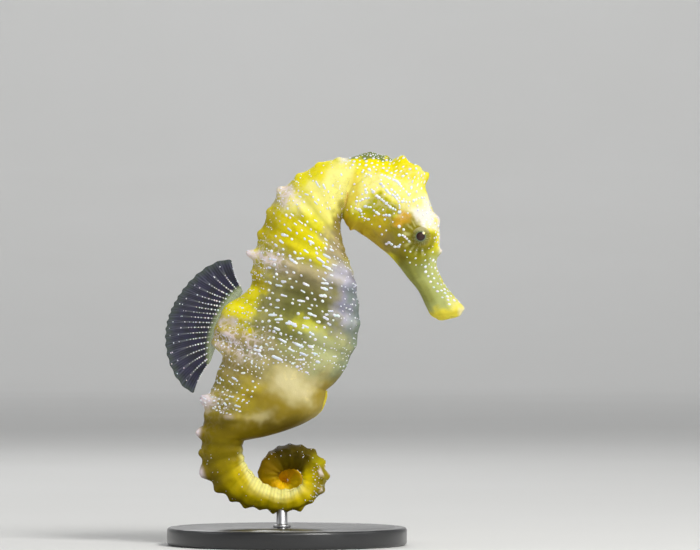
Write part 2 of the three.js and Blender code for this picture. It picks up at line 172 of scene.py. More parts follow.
def frameAt(axis):  # centre, half depth towards the back, half width towards the right flank
    backX, backZ, bellyX, bellyZ, half = alongRows(body["sections"], axis).T
    none = np.zeros_like(half)
    centre = np.stack([(backX + bellyX) / 2, none, (backZ + bellyZ) / 2], 1)
    back = np.stack([(backX - bellyX) / 2, none, (backZ - bellyZ) / 2], 1)
    flank = right * half[:, None]
    ring = axis - body["tailRingOffset"]
    depth, width, roll, shift = alongRows(body["girth"], ring).T
    x, z, heading = [np.interp(ring, tailPath[:, 0], tailPath[:, k]) for k in (1, 2, 3)]
    turn, heading = np.radians(roll)[:, None], np.radians(heading)
    outward = np.stack([np.sin(heading), none, -np.cos(heading)], 1)
    tailBack = outward * np.cos(turn) - right * np.sin(turn)
    tailFlank = right * np.cos(turn) + outward * np.sin(turn)
    onTail = (axis > body["tailJoin"])[:, None]
    centre = np.where(onTail, np.stack([x, -shift, z], 1), centre)
    back = np.where(onTail, tailBack * depth[:, None] / 2, back)
    flank = np.where(onTail, tailFlank * width[:, None] / 2, flank)
    return centre, back, flank


relief = {
    "trunkRidges": [15, 75, 132, 172],  # degrees from the back
    "tailRidges": [30, 135],
    "trunkTubercle": 0.26,
    "tailTubercle": 0.24,
    "tipTubercle": 0.1,
    "ringSwell": 0.17,
    "ringGroove": 0.08,
    "spines": [  # axis number, degrees from the back, height, reach along the axis, reach in degrees
        [9.0, 13, 0.35, 0.18, 9],
        [10.0, 13, 0.25, 0.18, 9],
        [11.0, 14, 0.35, 0.2, 8],
        [12.0, 14, 0.8, 0.24, 9],
        [13.0, 15, 0.3, 0.2, 8],
        [14.0, 15, 0.35, 0.22, 8],
        [15.0, 14, 1.7, 0.24, 9],
        [16.0, 15, 0.3, 0.2, 8],
        [12.0, 74, 0.3, 0.22, 7],
        [15.0, 74, 0.35, 0.22, 7],
        [19.15, 24, 0.9, 0.24, 10],
        [22.5, 24, 2.4, 0.36, 13],
        [23.25, 26, 0.5, 0.22, 9],
        [24.0, 26, 1.5, 0.27, 11],
        [24.95, 28, 0.5, 0.22, 10],
        [25.9, 28, 1.3, 0.42, 16],
        [27.0, 28, 0.55, 0.3, 15],
        [28.0, 28, 0.25, 0.26, 13],
        [29.0, 28, 0.4, 0.34, 15],
        [31.0, 28, 0.4, 0.28, 13],
        [33.0, 28, 0.35, 0.28, 13],
        [35.0, 32, 0.35, 0.3, 14],
        [36.0, 32, 0.45, 0.3, 14],
        [37.0, 32, 0.35, 0.3, 14],
        [38.0, 32, 0.3, 0.3, 14],
        [22.9, 76, 0.8, 0.28, 11],
        [24.0, 110, 0.25, 0.22, 12],
    ],
    "spineSharpness": 2.6,
    "headBumps": [
        [2.78, 0, 0.85, 0.19, 30],  # nose spine
        [3.88, 13, 0.8, 0.17, 19],  # brow
        [4.5, 34, 0.35, 0.3, 14],
        [5.4, 52, 0.3, 0.5, 16],
        [6.6, 60, 0.3, 0.6, 14],
        [6.4, 104, 0.45, 1.0, 36],  # gill cover
        [6.72, 164, 0.6, 0.32, 17],  # throat knobs
        [5.5, 158, 0.35, 0.2, 12],
        [7.85, 0, 1.1, 0.42, 15],  # nape
        [7.15, 0, 0.85, 0.3, 14],
        [0.35, 0, 0.2, 0.3, 50],  # upper lip
    ],
    "gillEdge": [[55, 7.3], [76, 7.75], [93, 8.2], [120, 8.35], [150, 8.45], [170, 8.1]],
    "gillCover": 0.4,
    "gillGroove": 0.18,
    "undersideRib": 0.09,
    "ridge": 0.05,
    "lump": 0.05,
    "mound": {"start": 16.75, "peak": 18.3, "stop": 20.25, "height": 3.2, "halfWidth": 2.5},
}


def ridgesAt(ridges, fromBack, reach):
    return sum(bell((fromBack - ridge) / reach) for ridge in ridges)


def bumpsAt(rows, axis, fromBack):
    total = np.zeros_like(axis)
    for at, turn, height, reachAxis, reachTurn in rows:
        total += height * bell((axis - at) / reachAxis) * bell((fromBack - turn) / reachTurn)
    return total


def spineHeight(axis, fromBack):  # long tubercles and spines
    total = np.zeros_like(axis)
    for at, turn, height, reachAxis, reachTurn in relief["spines"]:
        away = np.hypot((axis - at) / reachAxis, (fromBack - turn) / reachTurn)
        total += height * np.exp(-(away ** relief["spineSharpness"]))
    return total


def headHeight(axis, fromBack):
    edge = alongRows(relief["gillEdge"], fromBack)[:, 0]
    cover = smoothStep(5.4, 7.4, axis) * (1 - smoothStep(-0.05, 0.1, axis - edge))
    cover = relief["gillCover"] * cover * between((48, 72), (158, 176), fromBack)
    groove = bell((axis - edge - 0.12) / 0.1) * between((60, 80), (150, 170), fromBack)
    return bumpsAt(relief["headBumps"], axis, fromBack) + cover - relief["gillGroove"] * groove


def ringHeight(axis, fromBack):  # bony rings, their ridges and small tubercles
    onTrunk = smoothStep(8.3, 9.2, axis)
    onTail = smoothStep(19.0, 22.0, axis)
    toTip = np.clip((axis - body["tailJoin"]) / (body["tailTip"] - body["tailJoin"]), 0, 1)
    phase = axis - np.round(axis)
    pouch = between((19.3, 20.2), (23.4, 24.6), axis) * smoothStep(66, 92, fromBack)
    trunkKnobs = ridgesAt(relief["trunkRidges"], fromBack, 7.5) * (1 - 0.3 * smoothStep(110, 160, fromBack))
    tailKnobs = ridgesAt(relief["tailRidges"], fromBack, 11) * (1 - 0.6 * smoothStep(60, 120, fromBack))
    knobs = trunkKnobs * (1 - onTail) + tailKnobs * onTail
    tail = relief["tailTubercle"] + (relief["tipTubercle"] - relief["tailTubercle"]) * toTip
    knobSize = relief["trunkTubercle"] * (1 - onTail) + tail * onTail
    crest = bell(phase / 0.26)
    seam = bell((np.abs(phase) - 0.5) / 0.09)
    size = 1 - 0.8 * toTip
    height = knobSize * knobs * bell(phase / 0.2) + relief["ridge"] * knobs * size
    height += relief["ringSwell"] * crest * size - relief["ringGroove"] * seam * size
    underside = between((25.5, 27), (40, 50), axis) * smoothStep(135, 160, fromBack)
    height += relief["undersideRib"] * underside * np.cos(6 * np.pi * axis) * size
    return onTrunk * (0.4 + 0.6 * smoothStep(9.5, 12.0, axis)) * height * (1 - 0.9 * pouch)


def moundHeight(axis, fromBack):  # the fleshy base of the dorsal fin
    mound = relief["mound"]
    rise = between((mound["start"], mound["peak"]), (mound["stop"] - 0.45, mound["stop"]), axis)
    aside = 7 * np.sin(np.radians(np.minimum(fromBack, 90)))
    return mound["height"] * rise * bell(aside / mound["halfWidth"])


pouchForm = {
    "seamDepth": 0.25,
    "swells": [  # as the bumps of the head
        [22.2, 92, -0.3, 0.35, 12],
        [20.4, 84, -0.2, 0.5, 9],
        [19.45, 180, 0.5, 0.3, 45],
        [20.0, 180, -0.3, 0.16, 50],
    ],
}


def pouchHeight(axis, fromBack):
    seam = pouchForm["seamDepth"] * between((20.2, 20.8), (23, 24), axis) * bell((180 - fromBack) / 5)
    return bumpsAt(pouchForm["swells"], axis, fromBack) - seam


def pouchShare(axis, fromBack):  # 1 on the smooth brood pouch
    return between((19.4, 20.1), (23.6, 24.6), axis) * smoothStep(76, 92, fromBack)


headFloor = 50.0  # height in mm above which only the head and its near parts lie
eye = {
    "x": 21.3, "y": 2.65, "z": 61.6, "radius": 2.4, "rim": 2.08, "reach": 3.5, "lip": 0.14,
    "under": 0.35,  # depth of the skin below the ball's face
    "slope": 0.5,
    "clear": 0.4,  # bare band without dots
}


def orbit(point):  # skin sunk under the eyeball, with a raised rim round it
    away = np.hypot(point[:, 0] - eye["x"], point[:, 2] - eye["z"])
    ball = eye["y"] + np.sqrt(np.maximum(eye["radius"] ** 2 - np.minimum(away, eye["rim"]) ** 2, 0))
    sunk = ball - eye["under"] * smoothStep(eye["rim"] - 0.05, eye["rim"] - 0.55, away)
    rim = eye["lip"] * bell((away - eye["rim"] - 0.15) / 0.25)
    slope = eye["slope"] * np.maximum(away - eye["rim"] - 0.2, 0)
    weight = 1 - smoothStep(eye["rim"] + 0.15, eye["reach"], away)
    side = np.sign(point[:, 1])
    lateral = np.abs(point[:, 1])
    near = (point[:, 2] > headFloor) & (lateral > 0.4)
    target = sunk + rim - slope
    moved = point.copy()
    moved[:, 1] = np.where(near, side * (lateral + weight * (target - lateral)), point[:, 1])
    return moved


coronet = {
    "x": 20.1, "z": 76.35, "lean": 34, "points": 5, "rimRadius": 3.05, "notch": 0.42,
    "dish": 0.95, "skirt": 1.5, "flare": 0.35,
}


def crown(point):  # low crown with five rounded points, whose tips lie in one leaning plane
    lean = math.radians(coronet["lean"])
    up = np.array([math.sin(lean), 0, math.cos(lean)])
    forward = np.array([math.cos(lean), 0, -math.sin(lean)])
    offset = point - np.array([coronet["x"], 0, coronet["z"]])
    rise = offset @ up
    flat = offset - rise[:, None] * up
    reach = np.linalg.norm(flat, axis=1)
    around = np.arctan2(flat[:, 1], flat @ forward)
    star = ((1 + np.cos(coronet["points"] * around)) / 2) ** 1.3
    inside = reach / coronet["rimRadius"]
    top = -coronet["notch"] * (1 - star) * smoothStep(0.45, 0.95, inside)
    top -= coronet["dish"] * (1 - smoothStep(0.35, 1.0, inside))
    weight = 1 - smoothStep(coronet["rimRadius"] - 0.1, coronet["rimRadius"] + coronet["skirt"], reach)
    weight *= smoothStep(-5.5, -3.0, rise)
    lift = weight * np.maximum(top - rise, 0)
    outward = flat / np.maximum(reach, 1e-6)[:, None]
    spread = coronet["flare"] * star * smoothStep(0.5, 1.0, inside) * smoothStep(0.4, 1.6, lift)
    return point + lift[:, None] * up + spread[:, None] * outward


def endCaps(axis):  # how much the ends shrink, and how far they reach on
    mouth = np.clip(-axis / body["mouthCap"], 0, 1)
    tip = np.clip((axis - body["tailTip"]) / body["tipCap"], 0, 1)
    shrink = np.sqrt(np.clip(1 - mouth**2, 0, 1)) * np.sqrt(np.clip(1 - tip**2, 0, 1))
    return shrink, mouth, tip


def heightAt(axis, angle):
    fromBack = np.abs((angle + 180) % 360 - 180)
    lumps = relief["lump"] * np.sin(2.7 * axis + 0.11 * angle) * np.sin(0.09 * angle - 1.3 * axis)
    total = ringHeight(axis, fromBack) + spineHeight(axis, fromBack) + headHeight(axis, fromBack)
    total += moundHeight(axis, fromBack) + pouchHeight(axis, fromBack)
    return total + lumps * (1 - smoothStep(30, 45, axis))


def bodySurface(axis, angle):
    axis, angle = np.asarray(axis, float), np.asarray(angle, float)
    centre, back, flank = frameAt(axis)
    squarer = (body["tailPower"] - body["headPower"]) * smoothStep(20, 25, axis)
    power = (2 / (body["headPower"] + squarer))[:, None]
    cosine, sine = np.cos(np.radians(angle))[:, None], np.sin(np.radians(angle))[:, None]
    offset = back * np.sign(cosine) * np.abs(cosine) ** power
    offset = offset + flank * np.sign(sine) * np.abs(sine) ** power
    length = np.linalg.norm(offset, axis=1, keepdims=True)
    shrink, mouth, tip = endCaps(axis)
    point = centre + offset * (1 + heightAt(axis, angle)[:, None] / length) * shrink[:, None]
    ends = frameAt(np.array([0.0, 0.3, body["tailTip"] - 0.3, body["tailTip"]]))[0]
    forward, onward = ends[0] - ends[1], ends[3] - ends[2]
    forward, onward = forward / np.linalg.norm(forward), onward / np.linalg.norm(onward)
    gape = body["gape"] * bell((cosine[:, 0] * shrink - 0.12) / 0.16) * (mouth > 0)
    point += forward * (body["lipReach"] * mouth - gape * smoothStep(0.1, 0.6, mouth))[:, None]
    point += onward * (body["tipReach"] * tip)[:, None]
    point -= back / np.linalg.norm(back, axis=1, keepdims=True) * (body["tipHook"] * tip**2)[:, None]
    return crown(orbit(point))


def bodyNormal(axis, angle, step=0.02):
    alongStep = bodySurface(axis + step, angle) - bodySurface(axis - step, angle)
    aroundStep = bodySurface(axis, angle + 1) - bodySurface(axis, angle - 1)
    normal = np.cross(aroundStep, alongStep)
    normal /= np.maximum(np.linalg.norm(normal, axis=1, keepdims=True), 1e-9)
    centre = frameAt(axis)[0]
    outside = np.sign(np.sum((bodySurface(axis, angle) - centre) * normal, axis=1))
    return normal * np.where(outside == 0, 1, outside)[:, None]


# Mesh helpers: a piece is made flat with an operator, then every vertex is carried to its place.


def readVerts(mesh):
    flat = np.empty(len(mesh.vertices) * 3)
    mesh.vertices.foreach_get("co", flat)
    return flat.reshape(-1, 3)


def placeVerts(mesh, points):
    mesh.vertices.foreach_set("co", (np.asarray(points) * mm).ravel())
    mesh.update()


def flatGrid(across, along, thick=False):  # x and y run from 0 to 1
    shape = bmesh.new()
    shape.loops.layers.uv.new("OFBake")
    bmesh.ops.create_grid(shape, x_segments=across, y_segments=along, size=0.5, calc_uvs=True)
    bmesh.ops.translate(shape, verts=shape.verts, vec=(0.5, 0.5, 0))
    if thick:
        bmesh.ops.solidify(shape, geom=shape.faces[:], thickness=1.0)
    return shape


def toMesh(name, shape):
    mesh = bpy.data.meshes.new(name)
    shape.to_mesh(mesh)
    shape.free()
    return mesh


def closeSeams(mesh, distance=1e-7):
    shape = bmesh.new()
    shape.from_mesh(mesh)
    bmesh.ops.remove_doubles(shape, verts=shape.verts, dist=distance)
    bmesh.ops.recalc_face_normals(shape, faces=shape.faces)
    shape.to_mesh(mesh)
    shape.free()


def saveField(mesh, name, values):
    field = mesh.attributes.new(name, "FLOAT", "POINT")
    field.data.foreach_set("value", np.asarray(values, float))


def savePaint(mesh, name, colours):
    field = mesh.attributes.new(name, "FLOAT_COLOR", "POINT")
    full = np.concatenate([colours, np.ones((len(colours), 1))], 1)
    field.data.foreach_set("color", full.ravel())


def addPiece(name, mesh, material, slot, *nodes):
    mesh.materials.clear()
    mesh.materials.append(material)
    mesh.polygons.foreach_set("use_smooth", [True] * len(mesh.polygons))
    piece = bpy.data.objects.new(name, mesh)
    bpy.context.scene.collection.objects.link(piece)
    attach(piece, "root")
    if nodes:
        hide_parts(*nodes)
    return piece


def paintOf(red, green, blue):  # display colour out of 255 to the linear colour that nodes use
    parts = np.array([red, green, blue]) / 255
    return np.where(parts <= 0.04045, parts / 12.92, ((parts + 0.055) / 1.055) ** 2.4)


def operatorPair(operation):  # the operator with the wire on its left, and on its right
    def onLeft(wire, other):
        return wire.combine(operation, wire, other)

    def onRight(wire, other):
        return wire.combine(operation, other, wire)

    return onLeft, onRight


class Wire:  # a node's output that takes part in sums
    def __init__(self, finish, socket):
        self.finish = finish
        self.socket = socket

    def combine(self, operation, first, second):
        return self.finish.node("ShaderNodeMath", {"operation": operation}, {0: first, 1: second})

    __add__, __radd__ = operatorPair("ADD")
    __sub__, __rsub__ = operatorPair("SUBTRACT")
    __mul__, __rmul__ = operatorPair("MULTIPLY")
    __truediv__, __rtruediv__ = operatorPair("DIVIDE")
    __pow__, __rpow__ = operatorPair("POWER")


def setStops(ramp, stops):
    while len(ramp.elements) < len(stops):
        ramp.elements.new(0.5)
    for element, (position, colour) in zip(ramp.elements, stops):
        element.position = position
        element.color = (*colour, 1)


class Finish:  # one material and its nodes
    def __init__(self, name, **constants):
        self.material = bpy.data.materials.new(name)
        self.material.use_nodes = True
        self.tree = self.material.node_tree
        self.surface = self.tree.nodes["Principled BSDF"]
        for socket, value in constants.items():
            self.surface.inputs[socket.replace("_", " ")].default_value = value

    def node(self, kind, settings=None, inputs=None, output=0):
        made = self.tree.nodes.new(kind)
        for key, value in (settings or {}).items():
            if key == "stops":
                setStops(made.color_ramp, value)
            else:
                setattr(made, key, value)
        for key, value in (inputs or {}).items():
            self.plug(made.inputs[key], value)
        return Wire(self, made.outputs[output])

    def plug(self, socket, value):
        if isinstance(value, Wire):
            self.tree.links.new(value.socket, socket)
        else:
            socket.default_value = value

    def feed(self, **wires):
        for socket, value in wires.items():
            self.plug(self.surface.inputs[socket.replace("_", " ")], value)

    def place(self):
        return self.node("ShaderNodeTexCoord", output="Object")

    def field(self, name):
        return self.node("ShaderNodeAttribute", {"attribute_name": name}, output="Fac")

    def paint(self, name):
        return self.node("ShaderNodeAttribute", {"attribute_name": name}, output="Color")

    def blend(self, amount, first, second, mode="MIX"):
        settings = {"data_type": "RGBA", "blend_type": mode}
        pair = [v if isinstance(v, Wire) else (*v, 1) for v in (first, second)]
        return self.node("ShaderNodeMix", settings, {0: amount, 6: pair[0], 7: pair[1]}, 2)

    def speckle(self, size, detail=3.0, rough=0.55, where=None):  # noise, spots of about this size in mm
        inputs = {"Vector": where or self.place(), "Scale": 1 / (size * mm)}
        inputs.update(Detail=detail, Roughness=rough)
        return self.node("ShaderNodeTexNoise", None, inputs)

    def cells(self, size, feature="F1", where=None):
        inputs = {"Vector": where or self.place(), "Scale": 1 / (size * mm)}
        return self.node("ShaderNodeTexVoronoi", {"feature": feature}, inputs, "Distance")

    def window(self, value, low, high):  # 0 below low, 1 above high
        inputs = {"Value": value, "From Min": low, "From Max": high}
        return self.node("ShaderNodeMapRange", {"interpolation_type": "SMOOTHSTEP"}, inputs)

    def bump(self, height, strength, distance):
        inputs = {"Height": height, "Strength": strength, "Distance": distance * mm}
        return self.node("ShaderNodeBump", None, inputs)


# Skin

skinMesh = {"around": 160, "along": 600, "samples": 1200, "endSpans": (1.4, 0.4)}  # spans in mm
tints = {  # display colours out of 255
    "yellow": (226, 216, 0),
    "deepYellow": (236, 222, 0),
    "brightYellow": (246, 232, 0),
    "lemon": (226, 222, 50),
    "paleYellow": (244, 236, 140),
    "goldOlive": (188, 170, 8),
    "gold": (222, 186, 20),
    "ochre": (180, 150, 40),
    "drab": (146, 131, 62),
    "cheek": (110, 98, 24),
    "olive": (104, 108, 40),
    "khaki": (150, 146, 98),
    "brownOlive": (134, 116, 64),
    "umber": (106, 98, 62),
    "taupe": (184, 168, 132),
    "pinkTaupe": (176, 156, 116),
    "lilac": (142, 140, 174),
    "cloud": (222, 218, 230),
    "greyGreen": (114, 131, 116),
    "paleGreen": (196, 200, 146),
    "saddle": (220, 204, 198),
    "beige": (154, 133, 38),
    "paleBeigeAndPaintedLight": (219, 208, 156),
    "darkGoldAndPaintedShade": (98, 82, 20),
    "cream": (252, 244, 150),
    "tailOlive": (120, 102, 0),
    "tailYellow": (214, 190, 0),
    "tailPaintedShadow": (78, 62, 0),
    "tailDeepPaintedShadow": (60, 48, 0),
    "tailGold": (148, 118, 0),
    "orange": (252, 196, 0),
    "rust": (216, 166, 40),
    "moss": (150, 148, 4),
    "crust": (96, 116, 70),
    "eyeOlive": (134, 128, 34),
    "eyeStreak": (214, 210, 140),
    "snout": (178, 184, 116),
    "snoutShadedUnderside": (146, 146, 60),
    "snoutTip": (240, 222, 50),
    "tip": (234, 220, 226),
    "white": (240, 234, 226),
}
tints = {name: paintOf(*levels) for name, levels in tints.items()}
patches = [  # tint, axis from, to and softness, degrees from the back from, to and softness, strength
    ("snout", -1, 2.9, 0.9, 10, 181, 40, 0.95),
    ("olive", 2.2, 3.5, 0.7, 66, 150, 40, 0.6),
    # painted shade with a greener tone: the snout's darker underside
    ("snoutShadedUnderside", 0.9, 3.2, 0.9, 100, 181, 50, 0.65),
    ("snoutTip", -1, 0.55, 0.5, 0, 181, 10, 0.8),
    ("paleYellow", 0.4, 1.0, 0.4, -1, 70, 30, 0.5),
    ("white", -1, 0.3, 0.3, -1, 40, 24, 0.5),
    ("ochre", 4.0, 8.3, 0.8, 126, 181, 24, 0.85),
    ("cheek", 2.8, 4.9, 0.9, 62, 150, 34, 0.85),
    ("taupe", 3.6, 5.0, 0.7, 122, 160, 24, 0.2),
    ("moss", 2.6, 3.5, 0.5, 40, 110, 24, 0.6),
    ("white", 3.8, 4.7, 0.45, 16, 66, 20, 0.95),
    ("white", 2.75, 4.0, 0.5, -1, 26, 18, 0.75),
    ("rust", 4.3, 4.9, 0.35, 74, 98, 14, 0.85),
    ("moss", 4.8, 7.1, 0.8, 86, 114, 18, 0.8),
    ("darkGoldAndPaintedShade", 4.6, 5.4, 0.5, 90, 106, 16, 0.35),
    ("ochre", 4.6, 6.2, 0.7, 104, 132, 20, 0.6),
    ("deepYellow", 5.4, 8.2, 0.6, 12, 62, 22, 0.95),
    ("paleYellow", 4.5, 5.6, 0.5, 30, 74, 22, 0.55),
    ("cream", 4.8, 7.2, 0.9, 58, 80, 18, 0.7),
    ("cream", 4.6, 5.7, 0.6, 14, 50, 20, 0.45),
    ("crust", 6.5, 8.6, 0.3, -1, 19, 8, 0.9),
    ("cream", 6.9, 7.9, 0.6, 66, 116, 24, 0.7),
    ("gold", 7.9, 8.5, 0.4, 60, 150, 20, 0.6),
    ("paleYellow", 8.3, 11.4, 1.6, 48, 122, 36, 0.85),
    ("cream", 8.5, 9.8, 0.7, 26, 84, 26, 0.5),
    ("deepYellow", 9.7, 11.7, 0.7, 8, 50, 24, 0.8),
    ("white", 8.5, 9.1, 0.4, 0, 34, 18, 0.75),
    ("brownOlive", 8.6, 13.4, 1.2, 122, 181, 28, 0.9),
    ("saddle", 11.65, 12.4, 0.5, -1, 50, 36, 0.75),
    ("cream", 11.5, 12.3, 0.5, 44, 84, 26, 0.6),
    ("goldOlive", 12.6, 14.4, 0.8, -1, 90, 30, 0.85),
    ("deepYellow", 12.8, 13.8, 0.7, 52, 96, 26, 0.7),
    ("taupe", 11.4, 14.6, 1.2, 112, 150, 30, 0.7),
    ("khaki", 14.4, 20.0, 1.2, 40, 181, 40, 0.9),
    ("umber", 15.2, 17.2, 1.0, 64, 118, 44, 0.85),
    ("olive", 16.4, 19.0, 1.4, 58, 124, 50, 0.6),
    ("taupe", 14.5, 15.4, 0.6, 40, 122, 36, 0.7),
    ("saddle", 14.75, 15.2, 0.35, -1, 62, 34, 0.75),
    ("lilac", 13.6, 17.4, 1.6, 124, 181, 30, 0.8),
    ("greyGreen", 15.4, 19.4, 1.6, 146, 181, 22, 0.75),
    ("cloud", 16.6, 17.3, 0.6, 118, 160, 26, 0.4),
    ("cloud", 14.0, 15.4, 0.7, 116, 150, 24, 0.5),
    ("goldOlive", 15.4, 17.2, 0.8, -1, 44, 26, 0.9),
    ("lemon", 17.45, 18.05, 0.5, 84, 118, 22, 0.85),
    ("paleGreen", 17.8, 19.4, 1.0, 100, 150, 40, 0.75),
    ("brightYellow", 16.9, 18.7, 0.6, -1, 40, 18, 0.95),
    ("goldOlive", 18.5, 20.0, 0.7, -1, 46, 26, 0.7),
    ("tip", 18.45, 18.75, 0.25, 4, 20, 10, 0.8),
    ("tip", 19.7, 19.9, 0.2, 6, 20, 10, 0.7),
    ("pinkTaupe", 18.8, 21.0, 0.8, 8, 84, 36, 0.8),
    ("khaki", 19.0, 20.8, 0.9, 40, 110, 34, 0.6),
    ("drab", 20.2, 24.0, 1.0, -1, 90, 30, 0.9),
    ("tailYellow", 20.8, 22.2, 0.8, 62, 92, 20, 0.5),
    ("beige", 19.6, 24.3, 0.6, 80, 181, 24, 1.0),
    # painted light: the brood pouch's top is paler where the light falls on it
    ("paleBeigeAndPaintedLight", 19.4, 20.9, 1.3, 84, 138, 44, 0.95),
    ("paleBeigeAndPaintedLight", 20.4, 22.0, 1.0, 140, 181, 30, 0.1),
    ("paleBeigeAndPaintedLight", 22.0, 23.0, 0.7, 86, 116, 22, 0.55),
    # painted shade: the brood pouch grows darker towards its underside
    ("darkGoldAndPaintedShade", 21.8, 24.5, 1.6, 112, 181, 40, 0.9),
    ("saddle", 22.1, 22.8, 0.4, -1, 40, 30, 0.42),
    ("tailOlive", 23.0, 28.2, 1.2, -1, 181, 10, 0.95),
    ("tailYellow", 27.0, 38.0, 2.4, 40, 181, 50, 0.85),
    ("tailOlive", 26.0, 37.0, 2.0, -1, 78, 60, 0.85),
    ("tailYellow", 26.0, 36.0, 2.4, 96, 181, 60, 0.8),
    ("cream", 25.4, 35.2, 2.0, 152, 181, 40, 0.95),
    ("cream", 28.6, 34.8, 2.6, 128, 181, 70, 0.7),
    ("tip", 34.92, 35.1, 0.2, 22, 42, 12, 0.8),
    ("tip", 36.2, 36.5, 0.3, 20, 46, 14, 0.8),
    # painted shadow: the coil's top turn is darkened where the pouch above shades it, most deeply on its back
    ("tailPaintedShadow", 37.2, 44.0, 1.8, -1, 181, 10, 0.95),
    ("tailDeepPaintedShadow", 38.4, 43.4, 1.2, -1, 76, 50, 0.5),
    ("tailGold", 42.0, 47.0, 2.0, -1, 181, 10, 0.9),
    ("orange", 45.5, 60.0, 3.0, -1, 181, 10, 0.95),
    ("brightYellow", 48.0, 52.5, 1.0, 70, 150, 40, 0.4),
]
paleKnobs = [[2.82, 0, 1.2, 0.2, 34], [3.9, 10, 1.1, 0.22, 20]]  # as the bumps of the head
paleSaddles = [(14.95, 0.55, 1), (12, 0.5, 1), (19.3, 0.75, 1), (22.4, 0.5, 0.5)]  # axis, reach, strength
# wander of the paint's edges in axis numbers and degrees, then the strength of the painted shade in the ring
# grooves and between the ribs
paintDrift = {"axis": 0.4, "turn": 17, "grooveShade": 0.24, "ribShade": 0.2}


def axisByLength():  # axis numbers spread evenly along the skin, from mouth cap to tail cap
    fine = np.linspace(0, body["tailTip"], skinMesh["samples"])
    lines = [bodySurface(fine, np.full_like(fine, turn)) for turn in (0.0, 90.0)]
    steps = np.mean([np.linalg.norm(np.diff(line, axis=0), axis=1) for line in lines], axis=0)
    length = np.concatenate([[0], np.cumsum(steps)])
    mouthSpan, tipSpan = skinMesh["endSpans"]
    even = np.linspace(-mouthSpan, length[-1] + tipSpan, skinMesh["along"] + 1)
    axis = np.interp(even, length, fine)
    axis = np.where(even < 0, even / mouthSpan * body["mouthCap"], axis)
    beyond = even - length[-1]
    return np.where(beyond > 0, body["tailTip"] + beyond / tipSpan * body["tipCap"], axis)


skinRows = axisByLength()


def noiseAt(points, size, seed):
    shift = Vector((seed * 7.3, seed * 3.1, seed * 5.7))
    return np.array([noise.noise(Vector(p) / size + shift) for p in points])


def softEdge(middle, width, value):
    return smoothStep(middle - width / 2, middle + width / 2, value)


def tinted(colour, tint, share):
    return colour * (1 - share[:, None]) + tints[tint] * share[:, None]


def paintSkin(points, axis, fromBack):
    wander = noiseAt(points, 3.2, 1) + 0.5 * noiseAt(points, 1.2, 2)
    drift = noiseAt(points, 2.6, 3) + 0.5 * noiseAt(points, 1.0, 4)
    atAxis = axis + paintDrift["axis"] * wander
    atTurn = fromBack + paintDrift["turn"] * drift
    colour = np.tile(tints["yellow"], (len(points), 1))
    for tint, low, high, softAxis, lowTurn, highTurn, softTurn, strength in patches:
        inside = softEdge(low, softAxis, atAxis) * (1 - softEdge(high, softAxis, atAxis))
        if lowTurn > 0:
            inside *= softEdge(lowTurn, softTurn, atTurn)
        if highTurn < 180:
            inside *= 1 - softEdge(highTurn, softTurn, atTurn)
        colour = tinted(colour, tint, strength * inside)
    knobs = spineHeight(axis, fromBack) + bumpsAt(paleKnobs, axis, fromBack)
    colour = tinted(colour, "tip", smoothStep(0.45, 1.3, knobs) * 0.9)
    colour = eyeSurround(colour, points)
    # painted shade: darker in the grooves between the bony rings, and in lines between the fine ribs under
    # the tail
    ringed = smoothStep(9.4, 12.4, axis) * (1 - pouchShare(axis, fromBack))
    groove = 0.5 - 0.5 * np.cos(2 * np.pi * (axis + 0.06 * wander))
    shade = paintDrift["grooveShade"] * ringed * groove**2 * (1 - 0.6 * smoothStep(24, 28, axis))
    ribbed = between((25, 26.5), (36, 40), axis) * smoothStep(105, 140, fromBack)
    shade += paintDrift["ribShade"] * ribbed * (0.5 - 0.5 * np.cos(6 * np.pi * axis))
    return colour * (1 - shade)[:, None]


def eyeSurround(colour, points):  # olive ring with short pale streaks round the eye
    x, z = points[:, 0] - eye["x"], points[:, 2] - eye["z"]
    away, around = np.hypot(x, z), np.arctan2(z, x)
    onHead = points[:, 2] > headFloor
    ring = between((1.6, 2.0), (2.5, 3.4), away) * onHead
    colour = tinted(colour, "eyeOlive", 0.75 * ring * (1 - smoothStep(0.2, 1.6, z)))
    streak = smoothStep(0.3, 0.9, np.sin(13 * around + 2 * np.sin(3 * around)))
    reach = between((2.1, 2.5), (3.2, 4.2), away) * onHead
    return tinted(colour, "eyeStreak", 0.6 * streak * reach * (x < 1.2))


def mottleAmount(axis, fromBack):  # where the pale net lies over the ground colour
    saddles = sum(strength * bell((axis - at) / reach) for at, reach, strength in paleSaddles)
    upper = 1 - smoothStep(48, 84, fromBack)
    head = 0.25 * between((4.2, 5.0), (7.2, 8.0), axis) * between((34, 50), (96, 116), fromBack)
    total = 0.05 * upper * between((8, 9), (24, 27), axis) + saddles * upper + head
    return np.clip(total, 0, 1) * (1 - pouchShare(axis, fromBack))


